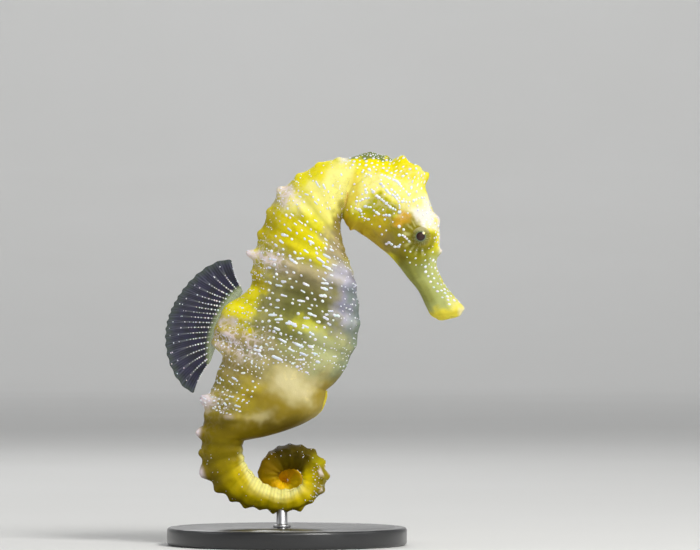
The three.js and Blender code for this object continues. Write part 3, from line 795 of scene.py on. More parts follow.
def skinFinish():
    skin = Finish("wet_ringed_skin", Subsurface_Weight=0.2, Subsurface_Scale=0.001)
    skin.surface.inputs["Subsurface Radius"].default_value = (1.0, 0.7, 0.25)
    skin.surface.inputs["Specular IOR Level"].default_value = 0.11
    skin.surface.inputs["Coat Roughness"].default_value = 0.2
    skin.surface.inputs["Coat Weight"].default_value = 0.05
    ground = skin.paint("paint")
    mottle = skin.field("mottle")
    smoothPouch = skin.field("pouch")
    grain = skin.speckle(0.55, 4.0, 0.6)
    coarse = skin.speckle(1.7, 3.0)
    wobble = {"Vector": skin.place(), "Scale": 900, "Detail": 3.0}
    wobble = skin.node("ShaderNodeTexNoise", None, wobble, "Color")
    bent = {0: wobble, 1: (1.3 * mm, 1.3 * mm, 1.3 * mm), 2: skin.place()}
    bent = skin.node("ShaderNodeVectorMath", {"operation": "MULTIPLY_ADD"}, bent)
    net = 1 - skin.window(skin.cells(1.25, "DISTANCE_TO_EDGE", bent), 0.04, 0.19)
    net = net * skin.window(coarse, 0.32, 0.5) * mottle
    blotch = skin.window(coarse, 0.5, 0.7) * mottle
    clouded = skin.blend(blotch * 0.3, ground, tints["saddle"])
    netted = skin.blend(net * 0.7, clouded, tints["tip"])
    dark = skin.window(skin.speckle(0.9, 3.0), 0.52, 0.74) * (1 - smoothPouch)
    toned = skin.blend(dark * 0.3, netted, (0.62, 0.58, 0.4), "MULTIPLY")
    bright = skin.window(skin.speckle(1.3, 3.0), 0.55, 0.75)
    toned = skin.blend(bright * 0.5, toned, (1.3, 1.28, 1.1), "MULTIPLY")
    flecks = skin.window(skin.cells(0.42), 0.16, 0.08) * skin.window(grain, 0.52, 0.62) * (1 - smoothPouch)
    toned = skin.blend(flecks * 0.12, toned, tints["white"])
    pores = skin.cells(0.2)
    height = grain * 0.6 + pores * 0.35 + net * 0.4
    normal = skin.bump(height, 0.35, 0.12)
    skin.feed(Base_Color=toned, Roughness=0.46 + grain * 0.2 - smoothPouch * 0.08, Normal=normal)
    return skin.material


def buildSkin():
    mesh = toMesh("skin", flatGrid(skinMesh["around"], skinMesh["along"]))
    flat = readVerts(mesh)
    axis = np.interp(flat[:, 1], np.linspace(0, 1, len(skinRows)), skinRows)
    angle = 360 * flat[:, 0] - 180
    points = bodySurface(axis, angle)
    fromBack = np.abs(angle)
    placeVerts(mesh, points)
    savePaint(mesh, "paint", paintSkin(points, axis, fromBack))
    saveField(mesh, "mottle", mottleAmount(axis, fromBack))
    saveField(mesh, "pouch", pouchShare(axis, fromBack))
    closeSeams(mesh)
    flesh = ["snout", "head", "coronet", "neck", "trunk_upper", "trunk_lower", "pouch", "tail_base"]
    flesh += [f"tail_{length}" for length in range(1, 7)]
    return addPiece("skin", mesh, skinFinish(), "skin", *flesh)


skin = buildSkin()
print("skin made")

# Eyes

# notch places the painted golden highlight at the pupil's upper right
eyeBall = {
    "columns": 48, "rows": 32, "cornea": 0.16, "corneaReach": 1.5, "pupilX": 0.12,
    "pupilZ": 0.1, "notch": 0.64, "irisReach": 2.3,
}


def eyeFinish():
    glass = Finish("wet_eye", Roughness=0.2, Coat_Weight=0.35, Coat_Roughness=0.06)
    glass.surface.inputs["Specular IOR Level"].default_value = 0.3
    place = glass.place()
    parts = {axis: glass.node("ShaderNodeSeparateXYZ", None, {0: place}, axis) for axis in "XZ"}
    x = (parts["X"] - eye["x"] * mm) * (1 / mm) + eyeBall["pupilX"]
    z = (parts["Z"] - eye["z"] * mm) * (1 / mm) - eyeBall["pupilZ"]
    away = (x * x + z * z) ** 0.5
    around = glass.node("ShaderNodeMath", {"operation": "ARCTAN2"}, {0: z, 1: x})
    spokes = glass.node("ShaderNodeCombineXYZ", None, {0: around * 3.0, 1: away * 0.5})
    streaks = glass.node("ShaderNodeTexNoise", None, {"Vector": spokes, "Scale": 2.6, "Detail": 3.0})
    # painted highlight: a golden glint at the pupil's upper right, which also notches the pupil
    notchX, notchZ = x - eyeBall["notch"], z - eyeBall["notch"]
    notch = 1 - glass.window((notchX * notchX + notchZ * notchZ) ** 0.5, 0.12, 0.5)
    bean = away + notch * 0.3 + (streaks - 0.5) * 0.16
    iris = glass.node(
        "ShaderNodeValToRGB",
        {
            "stops": [
                (0.0, paintOf(60, 34, 30)),
                (0.36, paintOf(48, 26, 20)),
                (0.405, paintOf(104, 124, 104)),
                (0.47, paintOf(112, 112, 42)),
                (0.7, paintOf(126, 118, 26)),
                (0.86, paintOf(152, 140, 28)),
                (1.0, paintOf(186, 172, 56)),
            ]
        },
        {0: bean / eyeBall["irisReach"]},
    )
    onIris = glass.window(bean, 0.95, 1.2)
    pale = glass.window(streaks, 0.5, 0.68) * onIris
    streaked = glass.blend(pale * 0.35, iris, paintOf(206, 206, 140))
    upper = glass.window(z, 0.6, 1.6) * onIris * 0.4
    whitened = glass.blend(upper, streaked, paintOf(222, 214, 176))
    glint = glass.blend(glass.window(notch, 0.75, 0.95), whitened, paintOf(240, 196, 70))
    glass.feed(Base_Color=glint)
    return glass.material


def buildEye(name, side, material):
    shape = bmesh.new()
    grain = {"u_segments": eyeBall["columns"], "v_segments": eyeBall["rows"]}
    bmesh.ops.create_uvsphere(shape, radius=eye["radius"] * mm, **grain)
    bmesh.ops.rotate(shape, verts=shape.verts, matrix=Matrix.Rotation(math.radians(90), 3, "X"))
    for vert in shape.verts:
        away = math.hypot(vert.co.x, vert.co.z) / mm
        if vert.co.y * side > 0:
            vert.co.y += side * eyeBall["cornea"] * mm * float(bell(away / eyeBall["corneaReach"]))
    bmesh.ops.translate(shape, verts=shape.verts, vec=Vector((eye["x"], side * eye["y"], eye["z"])) * mm)
    return addPiece(name, toMesh(name, shape), material, "eye", name.replace("eyeball", "eye"))


eyeMaterial = eyeFinish()
for sideName, side in sides.items():
    buildEye(f"eyeball_{sideName}", side, eyeMaterial)
print("eyes made")

# Fins: flat slabs with one ray after another across, carried onto fanned rays

dorsalFin = {
    "rays": 19, "front": (-14.6, 51.4), "bulge": (-20.6, 46.6), "rear": (-21.0, 36.4),
    "middleAngle": 176, "spread": 66, "frontRay": 5.8, "rearRay": 6.6, "middleRay": 3.7,
    "rootDepth": 1.6,
    "buried": 0.15,  # share of the reach that lies under the skin
    "bow": 0.06, "scallop": 0.012, "wave": 0.3, "waves": 2.3, "membrane": 0.035, "ray": 0.07,
    "swelling": 0.35,
}


def dorsalPoint(part, reach):  # part runs from the first ray to the last, reach from root to tip
    front, bulge, rear = [np.array(dorsalFin[k]) for k in ("front", "bulge", "rear")]
    p = part[:, None]
    base = (1 - p) ** 2 * front + 2 * p * (1 - p) * bulge + p**2 * rear
    across = 2 * part - 1
    angle = np.radians(dorsalFin["middleAngle"] + dorsalFin["spread"] * (0.35 * across + 0.65 * across**3))
    grown = np.sin(np.pi * np.clip(part, 0, 1)) ** 0.6
    length = dorsalFin["frontRay"] + (dorsalFin["rearRay"] - dorsalFin["frontRay"]) * part
    length = length + dorsalFin["middleRay"] * grown
    length *= 1 + dorsalFin["scallop"] * np.cos(2 * np.pi * (dorsalFin["rays"] - 1) * part)
    direction = np.stack([np.cos(angle), np.sin(angle)], 1)
    sideways = np.stack([-np.sin(angle), np.cos(angle)], 1)
    root = dorsalFin["rootDepth"] * (0.4 + 0.6 * grown)
    travel = np.where(reach < 0, reach * root / dorsalFin["buried"], reach * length)
    out = np.clip(reach, 0, 1)
    bow = -dorsalFin["bow"] * across * length * out * (1 - out) * 4
    flat = base + direction * travel[:, None] + sideways * bow[:, None]
    wave = dorsalFin["wave"] * out * np.sin(2 * np.pi * dorsalFin["waves"] * part + 0.6)
    return np.stack([flat[:, 0], wave, flat[:, 1]], 1)


def rayStrength(part, reach, rays, width=0.06):  # 1 on a ray, which forks towards its tip
    offset = part * (rays - 1)
    offset = offset - np.round(offset)
    fork = 0.2 * smoothStep(0.45, 1.0, reach)
    return bell((np.abs(offset) - fork) / width)


def threadStrength(part, rays):  # fine lines between the rays
    offset = part * (rays - 1) * 4 + 0.5
    return bell((offset - np.round(offset)) / 0.22)


def finFinish(name, look):
    fin = Finish(name, Roughness=0.3)
    ray, out = fin.field("ray"), fin.field("out")
    cloudy = fin.window(fin.speckle(1.8, 3.0), 0.4, 0.62)
    fine = fin.speckle(0.25, 2.0)
    web = fin.blend(cloudy, look["web"], look["shade"])
    web = fin.blend(fin.window(out, 0.8, 1.0) * 0.8, web, look["edge"])
    web = fin.blend(fin.field("thread") * fin.window(out, 0.3, 0.9) * 0.35, web, look["rayTip"])
    line = fin.blend(fin.window(out, 0.25, 0.8), look["ray"], look["rayTip"])
    root = 1 - fin.window(out, *look["rootReach"])
    colour = fin.blend(root, web, look["root"])
    colour = fin.blend(ray * (0.85 - 0.5 * out), colour, line)
    alpha = look["alpha"] + ray * look["rayAlpha"] * (1 - 0.5 * out) + root * look["rootAlpha"]
    fin.feed(Base_Color=colour, Alpha=fin.window(alpha, 0.0, 1.0), Normal=fin.bump(fine, 0.2, 0.05))
    return fin.material


dorsalLook = {
    "web": paintOf(30, 27, 56),
    "shade": paintOf(18, 20, 32),
    "edge": paintOf(58, 72, 52),
    "ray": paintOf(176, 184, 160),
    "rayTip": paintOf(92, 94, 114),
    "root": paintOf(150, 166, 104),
    "rootReach": (0.0, 0.16),
    "alpha": 0.93,
    "rayAlpha": 0.1,
    "rootAlpha": -0.45,
}
pectoralLook = {
    "web": paintOf(236, 226, 160),
    "shade": paintOf(226, 214, 140),
    "edge": paintOf(240, 234, 190),
    "ray": paintOf(250, 244, 206),
    "rayTip": paintOf(244, 236, 190),
    "root": paintOf(232, 196, 40),
    "rootReach": (0.04, 0.3),
    "alpha": 0.07,
    "rayAlpha": 0.12,
    "rootAlpha": 0.35,
}
analLook = {
    "web": paintOf(226, 210, 40),
    "shade": paintOf(216, 196, 30),
    "edge": paintOf(236, 224, 80),
    "ray": paintOf(240, 228, 90),
    "rayTip": paintOf(240, 228, 90),
    "root": paintOf(206, 184, 40),
    "rootReach": (0.1, 0.4),
    "alpha": 0.7,
    "rayAlpha": 0.2,
    "rootAlpha": 0.2,
}


def finSlab(name, across, along):  # part across, reach from root to tip, and the side each vertex is on
    mesh = toMesh(name, flatGrid(across, along, thick=True))
    part, reach, height = readVerts(mesh).T
    return mesh, part, reach, np.where(height > height.mean(), 1.0, -1.0)


def endFin(name, mesh, points, material, node, **fields):
    placeVerts(mesh, points)
    for field, values in fields.items():
        saveField(mesh, field, values)
    closeSeams(mesh)
    return addPiece(name, mesh, material, "fin", node)


def buildDorsalFin():
    mesh, part, along, side = finSlab("dorsal_fin_web", 14 * (dorsalFin["rays"] - 1), 44)
    reach = -dorsalFin["buried"] + (1 + dorsalFin["buried"]) * along
    strength = rayStrength(part, reach, dorsalFin["rays"])
    half = dorsalFin["membrane"] + dorsalFin["ray"] * strength * (1 - 0.6 * np.clip(reach, 0, 1))
    half += dorsalFin["swelling"] * smoothStep(0.16, -0.05, reach)
    points = dorsalPoint(part, reach)
    points[:, 1] += side * half
    fields = {"ray": strength, "thread": threadStrength(part, dorsalFin["rays"]), "out": np.clip(reach, 0, 1)}
    finish = finFinish("dorsal_fin_web", dorsalLook)
    return endFin("dorsal_fin_web", mesh, points, finish, "dorsal_fin", **fields)


buildDorsalFin()
print("dorsal fin made")

pectoral = {
    "axis": 8.3, "from": 78, "to": 124, "length": 4.2, "sweep": 24, "rise": 24, "fall": -20,
    "rays": 13, "membrane": 0.02, "ray": 0.03, "sunk": 0.3, "shorter": 0.22, "ripple": 0.12,
    "ripples": 3.2,
}


def buildPectoral(name, side, material):
    mesh, part, reach, thick = finSlab(name, 10 * (pectoral["rays"] - 1), 20)
    turn = pectoral["from"] + (pectoral["to"] - pectoral["from"]) * part
    root = bodySurface(np.full_like(part, pectoral["axis"]), turn)
    root[:, 1] = np.abs(root[:, 1]) - pectoral["sunk"]
    fan = np.radians(pectoral["rise"] + (pectoral["fall"] - pectoral["rise"]) * part)
    sweep = math.radians(pectoral["sweep"])
    outward = np.full_like(fan, math.sin(sweep))
    direction = np.stack([-np.cos(fan) * math.cos(sweep), outward, np.sin(fan) * math.cos(sweep)], 1)
    length = pectoral["length"] * (1 - pectoral["shorter"] * (1 - np.sin(np.pi * part)))
    points = root + direction * (reach * length)[:, None]
    strength = rayStrength(part, reach, pectoral["rays"])
    ripple = pectoral["ripple"] * reach * np.sin(2 * np.pi * pectoral["ripples"] * part)
    half = pectoral["membrane"] + pectoral["ray"] * strength * (1 - 0.5 * reach)
    points[:, 1] += ripple + thick * half
    points[:, 1] *= side
    return endFin(f"{name}_web", mesh, points, material, name, ray=strength, out=reach)


clearFin = finFinish("pectoral_fin_web", pectoralLook)
for sideName, side in sides.items():
    buildPectoral(f"pectoral_fin_{sideName}", side, clearFin)
print("pectoral fins made")

anal = {
    "from": 20.0, "to": 21.5, "length": 0.45, "rays": 4, "lean": -8, "fall": -25, "half": 0.09,
    "sunk": 0.5,
}


def buildAnalFin():
    mesh, part, reach, thick = finSlab("anal_fin_web", 30, 10)
    axis = anal["from"] + (anal["to"] - anal["from"]) * part
    root = bodySurface(axis, np.full_like(axis, 180.0))
    lean = np.radians(anal["lean"] + anal["fall"] * part)
    direction = np.stack([np.cos(lean), np.zeros_like(lean), np.sin(lean)], 1)
    length = anal["length"] * (0.45 + 0.55 * np.sin(np.pi * np.minimum(part + 0.25, 1)))
    points = root + direction * (reach * (length + anal["sunk"]) - anal["sunk"])[:, None]
    points[:, 1] += thick * anal["half"] * (1 - 0.5 * reach)
    fields = {"ray": rayStrength(part, reach, anal["rays"]), "out": reach * 0.5 + 0.3}
    return endFin("anal_fin_web", mesh, points, finFinish("anal_fin_web", analLook), "anal_fin", **fields)


buildAnalFin()
print("anal fin made")

# Stand

stand = {
    "x": -5.5, "radius": 24.0, "height": 3.6, "bevel": 0.7, "steps": 160, "rodX": -6.5,
    "rodY": -1.3, "rodRadius": 1.1, "rodTop": 7.6, "collar": 1.75, "collarHeight": 0.55,
    "groove": 2.2,  # ring cut in the disc, from its edge
    "grooveWidth": 0.4, "trim": 0.15, "sunk": 0.1, "rodSteps": 48,
}


def turnedShape(profile, x, y, steps, unit=mm):  # spun from radius and height pairs
    shape = bmesh.new()
    verts = [shape.verts.new(Vector((x + r, y, z)) * unit) for r, z in profile]
    edges = [shape.edges.new(pair) for pair in zip(verts, verts[1:])]
    sweep = {"cent": Vector((x, y, 0)) * unit, "axis": (0, 0, 1), "angle": math.tau, "steps": steps}
    bmesh.ops.spin(shape, geom=verts + edges, use_merge=True, **sweep)
    bmesh.ops.remove_doubles(shape, verts=shape.verts, dist=1e-4 * unit)
    bmesh.ops.recalc_face_normals(shape, faces=shape.faces)
    return shape


def roundedCorner(r, z, radius, start, steps=5):  # quarter turn of a bevel
    turns = [math.radians(start + 90 * step / steps) for step in range(steps + 1)]
    return [(r + radius * math.cos(turn), z + radius * math.sin(turn)) for turn in turns]


def lacquerFinish():
    lacquer = Finish("black_lacquer", Metallic=0.0, Coat_Weight=0.5, Coat_Roughness=0.12)
    haze = lacquer.speckle(9.0, 3.0)
    dust = lacquer.speckle(0.35, 2.0)
    colour = lacquer.blend(haze, paintOf(30, 31, 33), paintOf(42, 42, 44))
    lacquer.feed(Base_Color=colour, Roughness=0.3 + haze * 0.16, Normal=lacquer.bump(dust, 0.08, 0.05))
    return lacquer.material


def steelFinish():
    steel = Finish("brushed_rod", Metallic=1.0)
    brushed = steel.node("ShaderNodeMapping", None, {"Vector": steel.place(), "Scale": (1, 1, 30)})
    lines = steel.speckle(2.0, 4.0, 0.7, brushed)
    colour = steel.blend(lines, paintOf(178, 178, 180), paintOf(206, 206, 208))
    steel.feed(Base_Color=colour, Roughness=0.22 + lines * 0.2, Normal=steel.bump(lines, 0.15, 0.03))
    return steel.material


def buildStand():
    radius, height, bevel = stand["radius"], stand["height"], stand["bevel"]
    profile = [(0, 0)] + roundedCorner(radius - bevel, bevel, bevel, -90)
    profile += roundedCorner(radius - bevel, height - bevel, bevel, 0)
    inset, wide = stand["groove"], stand["grooveWidth"]
    middle = (radius - inset - wide / 2, height - stand["trim"])
    profile += [(radius - inset, height), middle, (radius - inset - wide, height), (0, height)]
    disc = toMesh("stand_disc", turnedShape(profile, stand["x"], 0, stand["steps"]))
    addPiece("stand_disc", disc, lacquerFinish(), "stand_base", "stand_base")
    collar, rod = stand["collar"], stand["rodRadius"]
    foot = height - stand["sunk"]
    rise = height + stand["collarHeight"]
    top, trim = stand["rodTop"], stand["trim"]
    line = [(0, foot), (collar, foot), (collar, rise - trim), (collar - trim, rise), (rod + 0.1, rise)]
    line += [(rod, rise + trim), (rod, top - 0.2), (rod - 0.2, top), (0, top)]
    post = toMesh("stand_post", turnedShape(line, stand["rodX"], stand["rodY"], stand["rodSteps"]))
    addPiece("stand_post", post, steelFinish(), "stand_rod", "stand_rod")


buildStand()
print("stand made")

# Pale dots and dashes: low domes laid out by axis number and angle, then carried onto the skin

dome = {"columns": 8, "rows": 4, "rise": 0.2, "patch": 0.0015, "blank": 1000}
dash = {"tilt": 34, "apart": 0.72, "long": 1.25}  # tilt in degrees, the rest by a bead's width
dotZones = [  # axis from and to, row gap, degrees from and to, gap, size, share of dashes, share kept
    (8.9, 12.5, 1.35, 44, 112, 1.1, 0.42, 0.14, 0.6),
    (12.5, 19.5, 1.15, 46, 124, 1.25, 0.56, 0.32, 0.7),
    (8.7, 19.6, 1.0, 8, 44, 0.85, 0.32, 0.06, 0.66),
    (9.0, 19.4, 1.2, 128, 172, 0.9, 0.32, 0.12, 0.42),
    (19.6, 22.9, 1.15, 8, 80, 0.95, 0.42, 0.12, 0.75),
    (24.4, 28.0, 1.3, 12, 150, 1.0, 0.2, 0.0, 0.1),
    (28.0, 33.0, 1.6, 14, 110, 1.2, 0.2, 0.0, 0.12),
    (33.6, 37.0, 0.8, 14, 84, 0.7, 0.26, 0.0, 0.5),
    (37.0, 43.0, 0.9, 12, 60, 0.8, 0.2, 0.0, 0.3),
]
scatterZones = [  # axis from and to, degrees from the back from and to, least gap between middles, size
    (18.4, 20.4, 60, 124, 0.8, 0.34),
    (6.8, 8.3, 0, 14, 0.5, 0.32),
    (5.0, 8.6, 13, 52, 0.86, 0.6),
    (4.6, 8.2, 54, 132, 1.35, 0.42),
    (3.1, 4.6, 14, 60, 0.95, 0.5),
    (2.5, 3.9, 44, 118, 1.2, 0.42),
    (0.7, 2.5, 6, 84, 0.86, 0.58),
]
headChains = [  # wavy lines of dashes, each through points of axis number and degrees from the back
    [(6.98, 85), (6.62, 89), (6.18, 91), (5.74, 92), (5.34, 92), (5.06, 89), (4.86, 87)],
    [(6.74, 107), (6.42, 105), (5.9, 108), (5.5, 109), (5.3, 105), (5.14, 100)],
    [(6.66, 74), (6.38, 77), (5.9, 81), (5.62, 79), (5.26, 80), (4.86, 87)],
    [(5.9, 75), (5.62, 75), (5.42, 76), (5.1, 76)],
    [(7.58, 105), (7.3, 102), (7.1, 97), (6.82, 95), (6.66, 94)],
    [(7.5, 82), (7.26, 89), (7.1, 91)],
    [(7.38, 115), (6.9, 114), (6.38, 125), (5.98, 125), (5.74, 123)],
    [(4.18, 140), (4.14, 131), (3.82, 131), (3.74, 120), (3.82, 112)],
    [(4.46, 98), (4.22, 94)],
    [(4.14, 106), (4.06, 101), (3.7, 97)],
    [(5.14, 74), (4.98, 69), (4.82, 53), (4.74, 43), (4.66, 25)],
    [(6.9, 60), (6.4, 62), (6.0, 60), (5.6, 63), (5.2, 62)],
    [(7.9, 60), (7.5, 64), (7.1, 68)],
]


def skinScale(axis, angle):  # mm on the skin for one degree and for one axis number
    across = bodySurface(axis, angle + 1) - bodySurface(axis, angle - 1)
    along = bodySurface(axis + 0.05, angle) - bodySurface(axis - 0.05, angle)
    perDegree, perAxis = np.linalg.norm(across, axis=1) / 2, np.linalg.norm(along, axis=1) / 0.1
    return np.maximum(perDegree, 0.01), np.maximum(perAxis, 0.3)


def repeatShape(shape, count):  # copies one after another in one mesh
    holder = bpy.data.objects.new("copies", toMesh("copies", shape))
    bpy.context.scene.collection.objects.link(holder)
    copies = holder.modifiers.new("copies", "ARRAY")
    copies.count = count
    copies.use_relative_offset = False
    graph = bpy.context.evaluated_depsgraph_get()
    mesh = bpy.data.meshes.new_from_object(holder.evaluated_get(graph))
    bpy.data.objects.remove(holder)
    return mesh


class DotField:  # domes kept as rows of numbers until they are made
    def __init__(self, seed):
        self.luck = np.random.default_rng(seed)
        self.rows = []

    def addDash(self, axis, angle, wide, perDegree, perAxis):  # two to five beads that run together
        luck = self.luck
        lean = math.radians(dash["tilt"] * (luck.random() - 0.5))
        for bead in range(int(luck.integers(2, 6))):
            away = dash["apart"] * wide * bead
            size = wide * (0.7 + 0.45 * luck.random())
            up, aside = away * math.sin(lean) / perAxis, away * math.cos(lean) / perDegree
            self.add(axis + up, angle + aside, dash["long"] * size, size)

    def add(self, axis, angle, long, wide, lean=0.0):  # sizes in mm, lean in degrees from the ring's line
        here = bodySurface([axis], [angle])[0]
        fromEye = math.hypot(here[0] - eye["x"], here[2] - eye["z"])
        nearEye = fromEye < eye["rim"] + eye["clear"] and here[2] > headFloor
        onPouch = pouchShare(np.array([axis]), np.array([abs(angle)]))[0] > 0.3
        if not (nearEye or onPouch):
            self.rows.append((axis, angle, long, wide, lean, dome["rise"] * wide))

    def addRows(self, low, high, rowGap, turnFrom, turnTo, gap, size, dashShare, kept):
        luck = self.luck
        axis = low + 0.1 * luck.random()
        while axis < high:
            perDegree, perAxis = [float(scale[0]) for scale in skinScale(np.array([axis]), np.array([90.0]))]
            for side in (-1, 1):
                turn = turnFrom + gap / perDegree * luck.random()
                phase = 6 * luck.random()
                while turn < turnTo:
                    wide = size * (0.55 + 0.65 * luck.random())
                    wander = 0.25 * math.sin(turn / 11 + phase) + 0.4 * (luck.random() - 0.5)
                    at = axis + (wander + 0.3 * math.sin(turn / 19 + 1.7 * axis)) * rowGap / perAxis
                    if luck.random() < dashShare:
                        self.addDash(at, side * turn, wide, perDegree, perAxis)
                        turn += 2 * wide / perDegree
                    elif luck.random() < kept:
                        self.add(at, side * turn, 1.1 * wide, wide)
                    turn += (wide + gap * (0.5 + luck.random())) / perDegree
            axis += rowGap / perAxis

    def scatter(self, low, high, turnFrom, turnTo, apart, size, tries=700):
        luck = self.luck
        for side in (-1, 1):
            axes = luck.uniform(low, high, tries)
            turns = luck.uniform(turnFrom, turnTo, tries)
            places = bodySurface(axes, side * turns)
            taken = []
            for number in range(tries):
                gap = apart * (0.85 + 0.4 * luck.random())
                if taken and np.min(np.linalg.norm(places[taken] - places[number], axis=1)) < gap:
                    continue
                taken.append(number)
                wide = size * (0.6 + 0.55 * luck.random())
                self.add(axes[number], side * turns[number], 1.1 * wide, wide)

    def addChain(self, points, side, wide=0.6, gap=0.4):
        fine = np.linspace(0, len(points) - 1, 120)
        axis, turn = [np.interp(fine, np.arange(len(points)), column) for column in np.array(points, float).T]
        steps = np.linalg.norm(np.diff(bodySurface(axis, side * turn), axis=0), axis=1)
        length = np.concatenate([[0], np.cumsum(steps)])
        perDegree, perAxis = skinScale(axis, side * turn)
        lean = np.degrees(np.arctan2(np.gradient(axis) * perAxis, np.gradient(turn) * perDegree))
        done = 0.0
        while done < length[-1]:
            at, around, tilt = [float(np.interp(done, length, v)) for v in (axis, turn, lean)]
            bead = wide * (0.65 + 0.55 * self.luck.random())
            self.add(at + 0.06 * (self.luck.random() - 0.5), side * around, 1.15 * bead, bead, side * tilt)
            done += (0.85 + 0.35 * self.luck.random()) * wide + (gap if self.luck.random() < 0.2 else 0)

    def toSkin(self, name, material):
        shape = bmesh.new()
        grain = {"u_segments": dome["columns"], "v_segments": dome["rows"]}
        bmesh.ops.create_uvsphere(shape, radius=dome["blank"], **grain)
        mesh = repeatShape(shape, len(self.rows))
        local = readVerts(mesh) / dome["blank"]
        rows = np.array(self.rows)
        each = len(local) // len(rows)
        scales = [np.repeat(scale, each) for scale in skinScale(rows[:, 0], rows[:, 1])]
        axis, angle, long, wide, lean, height = np.repeat(rows, each, axis=0).T
        cosine, sine = np.cos(np.radians(lean)), np.sin(np.radians(lean))
        across = (local[:, 0] * long * cosine - local[:, 1] * wide * sine) / 2 / scales[0]
        along = (local[:, 0] * long * sine + local[:, 1] * wide * cosine) / 2 / scales[1]
        points = bodySurface(axis + along, angle + across)
        points += bodyNormal(axis + along, angle + across) * (local[:, 2] * height)[:, None]
        placeVerts(mesh, points)
        root = np.stack([angle / 360 + 0.5, np.interp(axis, skinRows, np.linspace(0, 1, len(skinRows)))], 1)
        corner = np.empty(len(mesh.loops), int)
        mesh.loops.foreach_get("vertex_index", corner)
        bake = mesh.uv_layers.new(name="OFBake")
        bake.data.foreach_set("uv", (root + local[:, :2] * dome["patch"])[corner].ravel())
        closeSeams(mesh, 1e-9)
        print(name, len(rows), "dots")
        return addPiece(name, mesh, material, "skin")


def dotFinish():
    dot = Finish("pale_dots", Subsurface_Weight=0.25, Subsurface_Scale=0.0006, Coat_Weight=0.3)
    tone = dot.window(dot.speckle(2.2, 2.0), 0.35, 0.65)
    grain = dot.speckle(0.4, 2.0)
    colour = dot.blend(tone, paintOf(254, 252, 255), paintOf(232, 228, 244))
    dot.feed(Base_Color=colour, Roughness=0.3 + grain * 0.2)
    return dot.material


def buildDots(name, seed, zones, scattered=(), chains=()):
    field = DotField(seed)
    for chain in chains:
        for side in (-1, 1):
            field.addChain(chain, side)
    for zone in zones:
        field.addRows(*zone)
    for zone in scattered:
        field.scatter(*zone)
    return field.toSkin(name, dotMaterial)


dotMaterial = dotFinish()
buildDots("dots_trunk", 11, dotZones[:5], scatterZones[:1])
buildDots("dots_tail", 31, dotZones[5:])
buildDots("dots_head", 23, [], scatterZones[1:], headChains)
print("dots made")

finBeading = {
    "inner": 8,  # beads to a ray
    "outer": 2,
    "first": 0.07,  # share of the ray
    "apart": 0.065,
    "radius": 0.2,  # mm, and less at each step by the taper
    "taper": 0.013,
    "stretch": 1.5,
    "seed": 47,
}


def finBeads(material):  # beads in a row on the inner half of each dorsal ray
    shape = bmesh.new()
    luck = np.random.default_rng(finBeading["seed"])
    beads = []
    for ray in range(dorsalFin["rays"]):
        part = ray / (dorsalFin["rays"] - 1)
        for step in range(finBeading["inner"]):
            reach = finBeading["first"] + finBeading["apart"] * step + 0.03 * luck.random()
            radius = finBeading["radius"] - finBeading["taper"] * step
            beads.append((part, reach, radius * (0.7 + 0.45 * luck.random())))
        for _ in range(finBeading["outer"]):
            beads.append((part, 0.6 + 0.36 * luck.random(), 0.07 + 0.09 * luck.random()))
    centres = dorsalPoint(np.array([b[0] for b in beads]), np.array([b[1] for b in beads]))
    for centre, (part, reach, radius) in zip(centres, beads):
        place = Matrix.Translation(Vector(centre) * mm) @ Matrix.Diagonal((1, finBeading["stretch"], 1, 1))
        bmesh.ops.create_uvsphere(shape, u_segments=8, v_segments=6, radius=radius * mm, matrix=place)
    return addPiece("dorsal_fin_beads", toMesh("dorsal_fin_beads", shape), material, "fin")


finBeads(dotMaterial)
print("beads made")

# Floor, light and camera

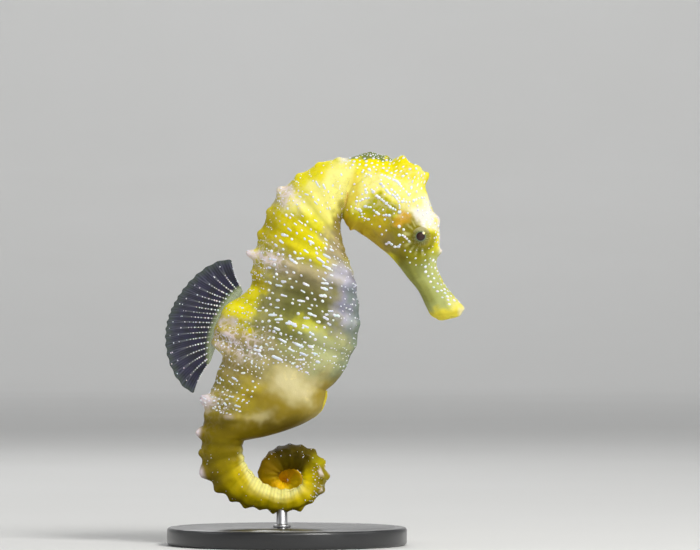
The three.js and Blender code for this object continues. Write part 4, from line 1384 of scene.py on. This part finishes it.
room = {"flat": 1.7, "rise": [(2.3, 0.12), (2.8, 0.6), (3.0, 1.6)], "steps": 96}  # in metres
view = {"x": 7.1, "z": 54.0, "distance": 1200.0, "width": 140.0, "sensor": 36.0}  # in mm
lights = [  # name, place, aim, size, power, colour, with lengths in metres
    ("key", (0.3, -0.42, 0.52), (0, 0, 0.045), 0.24, 3.8, (1.0, 0.99, 0.96)),
    ("fill", (0.5, -0.6, 0.14), (0, 0, 0.045), 0.5, 0.4, (0.96, 0.98, 1.0)),
    ("rim", (-0.15, 0.5, 0.45), (0, 0, 0.045), 0.3, 0.9, (1.0, 1.0, 1.0)),
]
backdrop = {"away": 2.2, "height": 1.5, "size": 1.2, "power": 9.5}
skyLight = {"colour": (0.95, 0.97, 1.0, 1), "strength": 0.18}
for turn in range(0, 360, 90):
    away = backdrop["away"] * np.array([math.cos(math.radians(turn)), math.sin(math.radians(turn))])
    place, aim = (*away, backdrop["height"]), (*(1.1 * away), 0)
    lights.append((f"backdrop_{turn}", place, aim, backdrop["size"], backdrop["power"], (1.0, 1.0, 1.0)))


def buildRoom():
    line = [(0.0, 0.0), (room["flat"], 0.0)] + room["rise"]
    mesh = toMesh("floor", turnedShape(line, 0, 0, room["steps"], unit=1))
    mesh.polygons.foreach_set("use_smooth", [True] * len(mesh.polygons))
    paper = Finish("pale_paper", Roughness=0.9)
    haze = paper.speckle(120.0, 2.0)
    paper.feed(Base_Color=paper.blend(haze, paintOf(222, 222, 220), paintOf(227, 227, 226)))
    mesh.materials.append(paper.material)
    floor = bpy.data.objects.new("floor", mesh)
    bpy.context.scene.collection.objects.link(floor)


def buildLights():
    for name, place, aim, size, power, colour in lights:
        lamp = bpy.data.lights.new(name, "AREA")
        lamp.size = size
        lamp.energy = power
        lamp.color = colour
        lampObject = bpy.data.objects.new(name, lamp)
        lampObject.location = place
        lampObject.rotation_euler = (Vector(aim) - Vector(place)).to_track_quat("-Z", "Y").to_euler()
        bpy.context.scene.collection.objects.link(lampObject)
    world = bpy.data.worlds.new("soft_sky")
    world.use_nodes = True
    sky = world.node_tree.nodes["Background"]
    sky.inputs["Color"].default_value = skyLight["colour"]
    sky.inputs["Strength"].default_value = skyLight["strength"]
    bpy.context.scene.world = world


def buildCamera():
    lens = bpy.data.cameras.new("camera")
    lens.sensor_width = view["sensor"]
    lens.lens = view["sensor"] * view["distance"] / view["width"]
    lens.clip_start = 0.01
    camera = bpy.data.objects.new("camera", lens)
    camera.location = Vector((view["x"], -view["distance"], view["z"])) * mm
    camera.rotation_euler = (math.radians(90), 0, 0)
    bpy.context.scene.collection.objects.link(camera)
    bpy.context.scene.camera = camera


buildRoom()
buildLights()
buildCamera()
bpy.context.scene.view_settings.view_transform = "Standard"
print("scene made")
